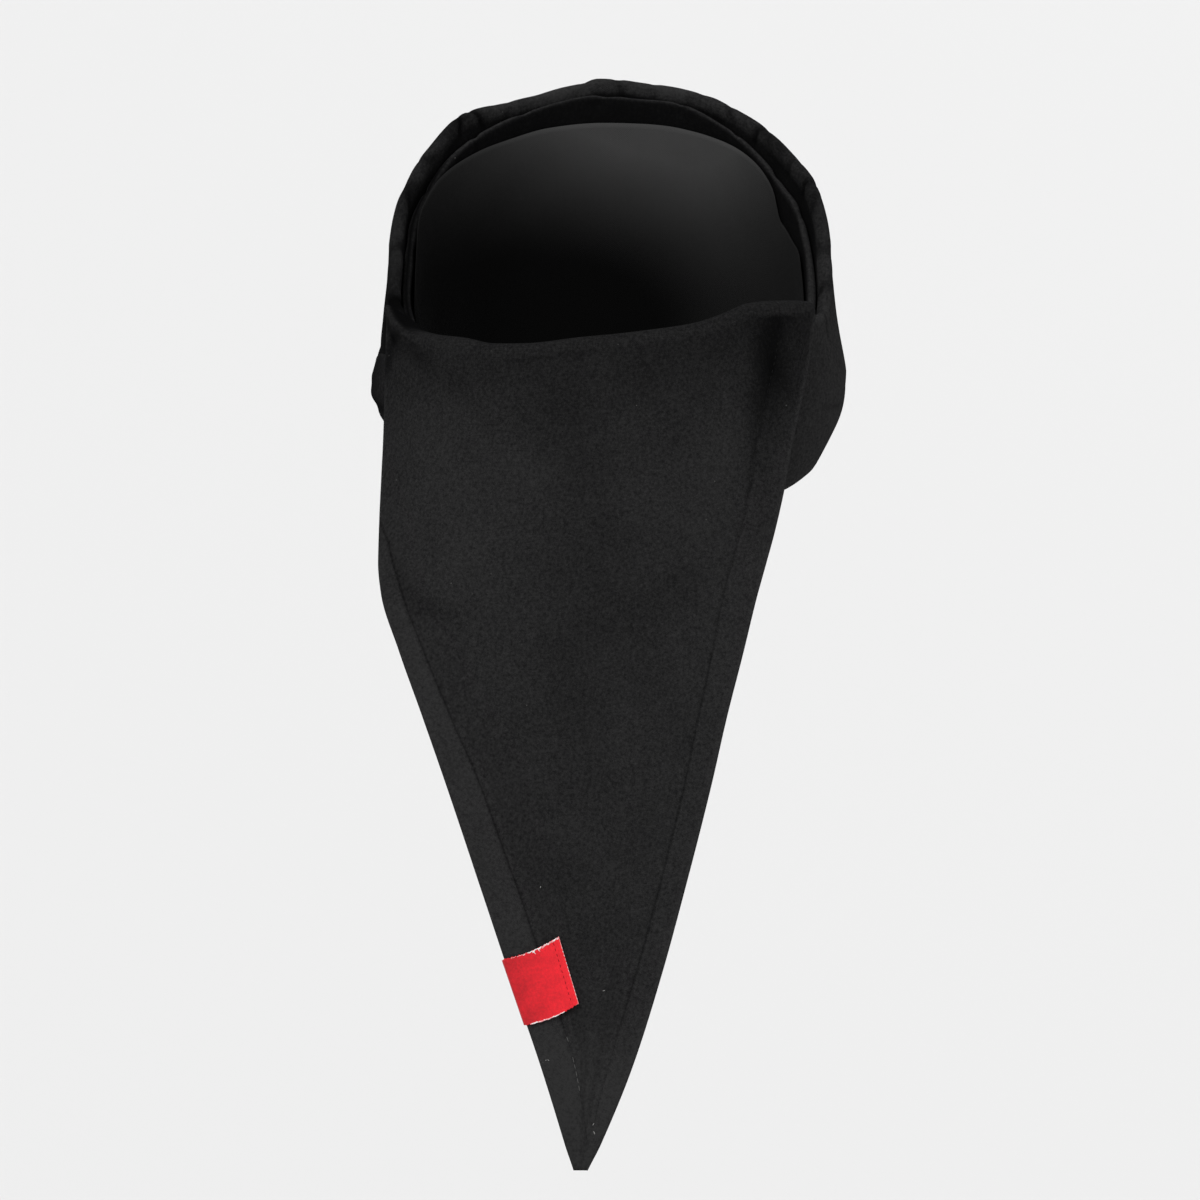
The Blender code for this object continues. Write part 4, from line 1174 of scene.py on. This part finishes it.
def seed_shape():
    """The points and faces of one stitch, a long seed along X, a metre long."""
    work = bmesh.new()
    bmesh.ops.create_uvsphere(work, u_segments=6, v_segments=5, radius=0.5)
    points = np.array([vertex.co[:] for vertex in work.verts])[:, [2, 0, 1]]
    faces = [[vertex.index for vertex in face.verts] for face in work.faces]
    work.free()
    return points, faces


def sewn_rows(name, places, along, outward, sizes, finish):
    """One mesh of many stitches, each laid at its place, along its row."""
    shape, shape_faces = seed_shape()
    points, faces = [], []
    for place, forward, up, size in zip(places, along, outward, sizes):
        side = np.cross(up, forward)
        start = len(points) * len(shape)
        frame_of = np.stack((forward * size[0], side * size[1], up * size[2]))
        points.append(place + shape @ frame_of)
        faces += [[start + index for index in face] for face in shape_faces]
    mesh = bpy.data.meshes.new(name)
    mesh.from_pydata(np.concatenate(points).tolist(), [], faces)
    mesh.materials.append(finish)
    mesh.shade_smooth()
    return placed(name, mesh)


def seam_line(side, low_end, high_end, lift):
    """Places, directions and outward faces of the stitches of one row."""
    z = np.linspace(high_end, low_end, 1600)
    x = fall(side, z) + INWARDS[side] * seam_curves[side](z) / edge_slant(side, z)
    line = fall_spot(x, z, np.full(z.shape, lift))
    behind = fall_spot(x, z, np.full(z.shape, lift - 0.001))
    run = np.concatenate(([0.0], np.cumsum(np.linalg.norm(np.diff(line, axis=0), axis=1))))
    stops = np.arange(STITCH_PITCH / 2, run[-1], STITCH_PITCH)
    picked = np.clip(np.searchsorted(run, stops), 1, len(z) - 2)
    forward = unit(line[picked + 1] - line[picked - 1])
    return line[picked], forward, unit(line[picked] - behind[picked])


def thread_finish(name, colour):
    """Matt twisted sewing thread."""
    made, shader, wire = start_finish(name)
    twist = object_space(wire).speckle(2600.0, 1.0, 0.5)
    darker = tuple(0.6 * value for value in colour)
    join(twist.blend_colours(darker, colour), shader, "Base Color")
    raise_relief(wire, shader, twist, 0.5, 0.00008)
    keep_even(shader, {"Roughness": 0.60, "Sheen Weight": 0.02, "Specular IOR Level": 0.08})
    return made


def is_linted(side, places):
    """Which stitches have caught pale lint: some of the left row, on the front alone."""
    chosen = np.zeros(len(places), bool)
    if side == "left":
        for top_end, foot_end in LINTED:
            chosen |= (places[:, 2] <= top_end) & (places[:, 2] >= foot_end)
    return chosen & (np.sin(LINT_WAVE * places[:, 2]) > LINT_LEAST)


black_thread = thread_finish("black sewing thread", THREAD_BLACK)
linted_thread = thread_finish("linted sewing thread", THREAD_LINTED)
front_lift = FALL_PROUD + CLOTH / 2 - STITCH_SUNK
back_lift = FOLD_BACK + HEM_DRAWN - CLOTH / 2
sewing = []
for side in SIDES:
    low_end, high_end = seams[side][-1].height, seams[side][0].height
    front = seam_line(side, low_end, high_end, front_lift)
    back = seam_line(side, max(low_end, HEM_FOOT), min(high_end, HEM_TOP), back_lift)
    linted = is_linted(side, front[0])
    front = (front[0] + front[2] * (LINT_PROUD * linted)[:, None], front[1], front[2])
    for name, chosen, finish in ((f"hem_stitches_{side}", ~linted, black_thread),
                                 (f"hem_stitches_{side}_linted", linted, linted_thread)):
        if not chosen.any():
            continue
        places, along, up = (values[chosen] for values in front)
        if finish is black_thread:
            places, along, up = (np.concatenate((one, two)) for one, two
                                 in zip((places, along, up), (back[0], back[1], -back[2])))
        sizes = np.tile((STITCH_LONG, THREAD, THREAD * 0.9), (len(places), 1))
        sewing.append(sewn_rows(name, places, along, up, sizes, finish))


def laid_mark(spots, slant):
    """Place, direction and face of a mark, from its spot and the spots beside and above it."""
    beside, above = unit(spots[1] - spots[0]), unit(spots[2] - spots[0])
    turned = math.radians(slant)
    forward = beside * math.cos(turned) + above * math.sin(turned)
    return spots[0], forward, unit(np.cross(beside, above))


# A few tufts of pale fluff that cling to the cloth.
fluff_lift = np.full(3, FALL_PROUD + CLOTH / 2 + FLUFF_LIFT)
tufts = [laid_mark(fall_spot(row.x + np.array((0.0, SPOT_STEP, 0.0)),
                             row.z + np.array((0.0, 0.0, SPOT_STEP)), fluff_lift), row.slant)
         for row in FLUFF]
sewing.append(sewn_rows("cloth_fluff", *zip(*tufts),
                        [(row.long, FLUFF_WIDE, FLUFF_THICK) for row in FLUFF],
                        thread_finish("pale fluff", FLUFF_PALE)))
for rows in sewing:
    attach(rows, "root")

# ================ red edge tab
# A red woven ribbon tab, folded in half round the left hem and caught in its stitching. Satin
# polyester, bare, with white picks along its two cut selvedges.

TAB_REACH = 0.0230
TAB_HEIGHT = 0.0268
TAB_MIDDLE = -0.2605
TAB_PROUD = 0.0009
TAB_PLY = 0.00045
TAB_FRONT = 0.00125           # the front leaf's middle over the hanging layer's middle
TAB_BACK = -0.00175
TAB_GRID = (72, 46)
TAB_RIB = 0.00045             # from one rib to the next, and from one float to the next
TAB_FLOAT = 0.00033
TAB_LEAF = 0.44               # share of its columns in each leaf, the rest in the fold
TAB_CURL = 0.0010             # how far its free corners curl, and its leaves bow
TAB_BOW = 0.00035
TAB_RISE = 0.0012             # its free end lies this much higher than its fold
TAB_SAG = 0.0011              # and its middle this much lower than a straight line between
TAB_CUT = 0.0012              # how much shorter it is along its foot
TAB_STEP = 0.0003             # from a spot on it to the ones that give its directions
RED = (0.92, 0.015, 0.028)
# The dark end of the weave's tone, which also carries the painted shade along the fold.
RED_DEEP_AND_SHADE = (0.40, 0.006, 0.012)
RED_RUBBED = (0.86, 0.30, 0.30)
PICK_WHITE = (0.84, 0.80, 0.79)
PICK_PINK = (0.80, 0.30, 0.32)
THREAD_RED = (0.26, 0.006, 0.012)
# Three yarns that have come loose at its upper edge, each from that edge down.
LOOSE_PICKS = table(
    "inward down slant long wide",
    (11.9, 1, -58, 2, 0.34), (13.9, 0.9, -66, 1.6, 0.32), (22.4, 0.4, 15, 1.3, 0.7),
)
TAB_SEAM_IN = 0.0028          # its own stitches lie this far in from its free end


def tab_spots(inward, down, lift):
    """Points over the hem at a distance inwards from its edge and down the tab."""
    edge_x = fall("left", TAB_MIDDLE)
    run = fall("left", TAB_MIDDLE - EDGE_STEP) - fall("left", TAB_MIDDLE + EDGE_STEP)
    down_x, down_z = np.array((run, -2 * EDGE_STEP)) / math.hypot(run, 2 * EDGE_STEP)
    share = np.clip(inward / TAB_REACH, 0.0, 1.0)
    lower = down - TAB_RISE * share + TAB_SAG * np.sin(math.pi * share)
    nearer = inward - TAB_CUT * share * (down / TAB_HEIGHT + 0.5)
    x = edge_x - down_z * nearer + down_x * lower
    z = TAB_MIDDLE + down_x * nearer + down_z * lower
    return fall_spot(x, z, lift, False)


def red_tab_finish():
    """Red woven satin with fine ribs across, deeper in its valleys, and painted shade along its
    fold.
    """
    made, shader, wire = start_finish("red woven tab")
    _, across, down, space, wear_and_painted_light = cloth_places(wire)
    ribs = (down * (2 * math.pi / TAB_RIB)).sine()
    floats = (across * (2 * math.pi / TAB_FLOAT) + ribs * 0.8).sine()
    mottle = space.speckle(900.0, 3.0, 0.7)
    cloud = space.speckle(140.0, 2.0, 0.5)
    tone = (0.76 + ribs * 0.07 + floats * 0.05 + (mottle - 0.5) * 1.0 + (cloud - 0.5) * 0.6
            + wear_and_painted_light * 0.5)
    colour = tone.limited().blend_colours(RED_DEEP_AND_SHADE, RED)
    rubbed = wear_and_painted_light.between(0.55, 0.95) * mottle.between(0.36, 0.54)
    colour = rubbed.blend_colours(colour, RED_RUBBED)
    join(colour, shader, "Base Color")
    join(0.60 + (mottle - 0.5) * 0.2, shader, "Roughness")
    raise_relief(wire, shader, ribs * 0.5 + floats * 0.4 + mottle * 0.5, 0.6, 0.00016)
    keep_even(shader, {"Sheen Weight": 0.05, "Sheen Roughness": 0.35,
                       "Specular IOR Level": 0.25})
    return made


red_tab = red_tab_finish()
columns, rows = TAB_GRID
stations = np.linspace(0.0, 1.0, columns)[None, :]
tab_down = np.linspace(-0.5, 0.5, rows)[:, None] * TAB_HEIGHT
fold_angle = np.clip((stations - TAB_LEAF) / (1.0 - 2 * TAB_LEAF), 0.0, 1.0) * math.pi
front_in = TAB_REACH * (1.0 - stations / TAB_LEAF)
back_in = TAB_REACH * (stations - 1.0 + TAB_LEAF) / TAB_LEAF
inward = np.maximum(np.maximum(front_in, back_in), 0.0)
inward = inward - TAB_PROUD * np.sin(fold_angle)
lift = mix(TAB_FRONT, TAB_BACK, (1.0 - np.cos(fold_angle)) / 2.0)


def tab_bow(inward, down):
    """How far a leaf of the tab stands off: it bows a little, and its free corners curl."""
    corner = np.maximum(np.abs(down) / (TAB_HEIGHT / 2) - 0.45, 0.0)
    curl = TAB_CURL * ease(0.008, TAB_REACH, inward) * corner
    return curl + TAB_BOW * np.sin(math.pi * np.clip(inward / TAB_REACH, 0.0, 1.0))


side_of = np.where(stations < 0.5, 1.0, -1.0)
fray = 0.00016 * np.sin(inward * 4100.0 + 1.0) + 0.00012 * np.sin(inward * 2300.0)
fray = fray * (np.abs(tab_down) > TAB_HEIGHT * 0.48) * np.sign(tab_down)
tab_points = tab_spots(inward, tab_down + fray, lift + side_of * tab_bow(inward, tab_down))
tab_grain = np.stack(np.broadcast_arrays(stations * (2 * TAB_REACH + 0.004), tab_down), axis=-1)
# Painted shade towards the fold round the hem; the free end's cut edge and the selvedges rubbed
# pale.
tab_wear_and_painted_shade = (1.0 * hump(TAB_REACH - inward, 0.0006)
            - 0.7 * hump(np.maximum(inward, 0.0), 0.0050) - 0.40 * fade(0.010, 0.021, inward)
            + 0.7 * hump(TAB_HEIGHT / 2 - np.abs(tab_down), 0.0005))
tab = cloth_shell("edge_label_tab", tab_points[::-1], tab_grain[::-1], red_tab, TAB_PLY,
                  tab_wear_and_painted_shade[::-1])
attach(tab, "root")
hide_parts("edge_label")


def tab_rows(name, rows_of_marks, finish):
    """Yarns on the tab's front leaf: inward, down, slant, long and wide for each."""
    laid = []
    for inward_at, down_at, slant, _, _ in rows_of_marks:
        spot_in = inward_at + np.array((0.0, TAB_STEP, 0.0))
        spot_down = down_at - np.array((0.0, 0.0, TAB_STEP))
        lift_at = TAB_FRONT + TAB_PLY / 2 + tab_bow(spot_in, spot_down)
        laid.append(laid_mark(tab_spots(spot_in, spot_down, lift_at), slant))
    sizes = [(long, wide, 0.8 * wide) for _, _, _, long, wide in rows_of_marks]
    made = sewn_rows(name, *zip(*laid), sizes, finish)
    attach(made, "root")
    return made


def pick_marks():
    """White yarn ends along the two woven edges, thick towards the free end at the top."""
    marks = []
    half = TAB_HEIGHT / 2
    for index, inward_at in enumerate(np.arange(0.0030, 0.0226, 0.00082)):
        stray = math.sin(index * 2.4) + 0.5 * math.sin(index * 5.1 + 1.0)
        thick = mix(0.00026, 0.00060, float(ease(0.006, 0.014, inward_at)))
        marks.append((inward_at, -half + 0.00020 + 0.00014 * stray, 24.0 * stray,
                      thick * (2.4 + stray), thick * (1.0 + 0.2 * stray)))
    for row in LOOSE_PICKS:
        marks.append((row.inward, -half + row.down, row.slant, row.long, row.wide))
    for index, inward_at in enumerate(np.arange(0.0022, 0.0168, 0.00105)):
        stray = math.sin(index * 1.9 + 0.7)
        thick = mix(0.00062, 0.00034, float(ease(0.008, 0.017, inward_at)))
        marks.append((inward_at, half - 0.00010 + 0.00008 * stray, 6.0 * stray,
                      0.00150 + 0.00030 * stray, thick))
    for down_at in np.arange(-0.0120, 0.0126, 0.00155):
        marks.append((TAB_REACH - 0.00012, down_at, 90.0, 0.0009, 0.00020))
    return marks


def pick_finish():
    """Off-white polyester yarn, reddened where the red yarns cross it."""
    made, shader, wire = start_finish("white selvedge yarn")
    tint = object_space(wire).speckle(700.0, 2.0, 0.5).between(0.38, 0.56)
    join(tint.blend_colours(PICK_PINK, PICK_WHITE), shader, "Base Color")
    keep_even(shader, {"Roughness": 0.7})
    return made


picks = tab_rows("tab_selvedge_picks", pick_marks(), pick_finish())
seam_marks = [(TAB_REACH - TAB_SEAM_IN, down_at, 90.0, 0.00125, 0.00030)
              for down_at in np.arange(-0.0118, 0.0120, 0.0022)]
tab_seam = tab_rows("tab_stitches", seam_marks,
                    thread_finish("deep red thread", THREAD_RED))

# ================ floor, light and camera
# A plain pale floor, an even sky, and three broad soft lamps: one from the front left, above,
# a weaker one from the front right, and one that reaches the nape from behind.

FLOOR_LEVEL = -0.62
FLOOR_HALF = 400.0
FLOOR_PALE = (0.645, 0.645, 0.645, 1.0)
SKY_LEVEL = 0.40
VIEW_ACROSS = 0.480           # what the picture takes in at the target, edge to edge
VIEW_DISTANCE = 2.5
VIEW_ELEVATION = 6.0
VIEW_TARGET = Vector((-0.004, -0.040, -0.115355))
SENSOR = 36.0

# Azimuth and elevation in degrees, strength, and how broad the lamp looks in degrees.
LAMPS = (
    ("key lamp", -35.0, 52.0, 2.1, 26.0),
    ("fill lamp", 50.0, 28.0, 0.6, 50.0),
    ("back lamp", 165.0, 34.0, 1.7, 50.0),
)

floor_mesh = grid_mesh("floor", 9, 9, FLOOR_HALF)
floor = placed("floor", floor_mesh)
floor.location.z = FLOOR_LEVEL
floor_paint, floor_shader, _ = start_finish("pale floor")
keep_even(floor_shader, {"Base Color": FLOOR_PALE, "Roughness": 0.9, "Specular IOR Level": 0.1})
floor_mesh.materials.append(floor_paint)

sky = bpy.data.worlds.new("studio sky")
sky.use_nodes = True
keep_even(sky.node_tree.nodes["Background"], {"Color": (1.0, 1.0, 1.0, 1.0),
                                              "Strength": SKY_LEVEL})
bpy.context.scene.world = sky
bpy.context.scene.view_settings.view_transform = "Standard"


def aimed(name, holds, azimuth, elevation):
    """A lamp or camera that looks from an azimuth round the object and an elevation."""
    turned, raised = math.radians(azimuth), math.radians(elevation)
    source = Vector((math.sin(turned) * math.cos(raised), -math.cos(turned) * math.cos(raised),
                     math.sin(raised)))
    holder = placed(name, holds)
    holder.rotation_mode = "QUATERNION"
    holder.rotation_quaternion = source.to_track_quat("Z", "Y")
    return holder, source


for name, azimuth, elevation, strength, spread in LAMPS:
    lamp = bpy.data.lights.new(name, "SUN")
    lamp.energy = strength
    lamp.angle = math.radians(spread)
    aimed(name, lamp, azimuth, elevation)

eye = bpy.data.cameras.new("camera")
eye.sensor_width = SENSOR
eye.lens = SENSOR * VIEW_DISTANCE / VIEW_ACROSS
camera, towards_eye = aimed("camera", eye, 0.0, VIEW_ELEVATION)
camera.location = VIEW_TARGET + towards_eye * VIEW_DISTANCE
bpy.context.scene.camera = camera
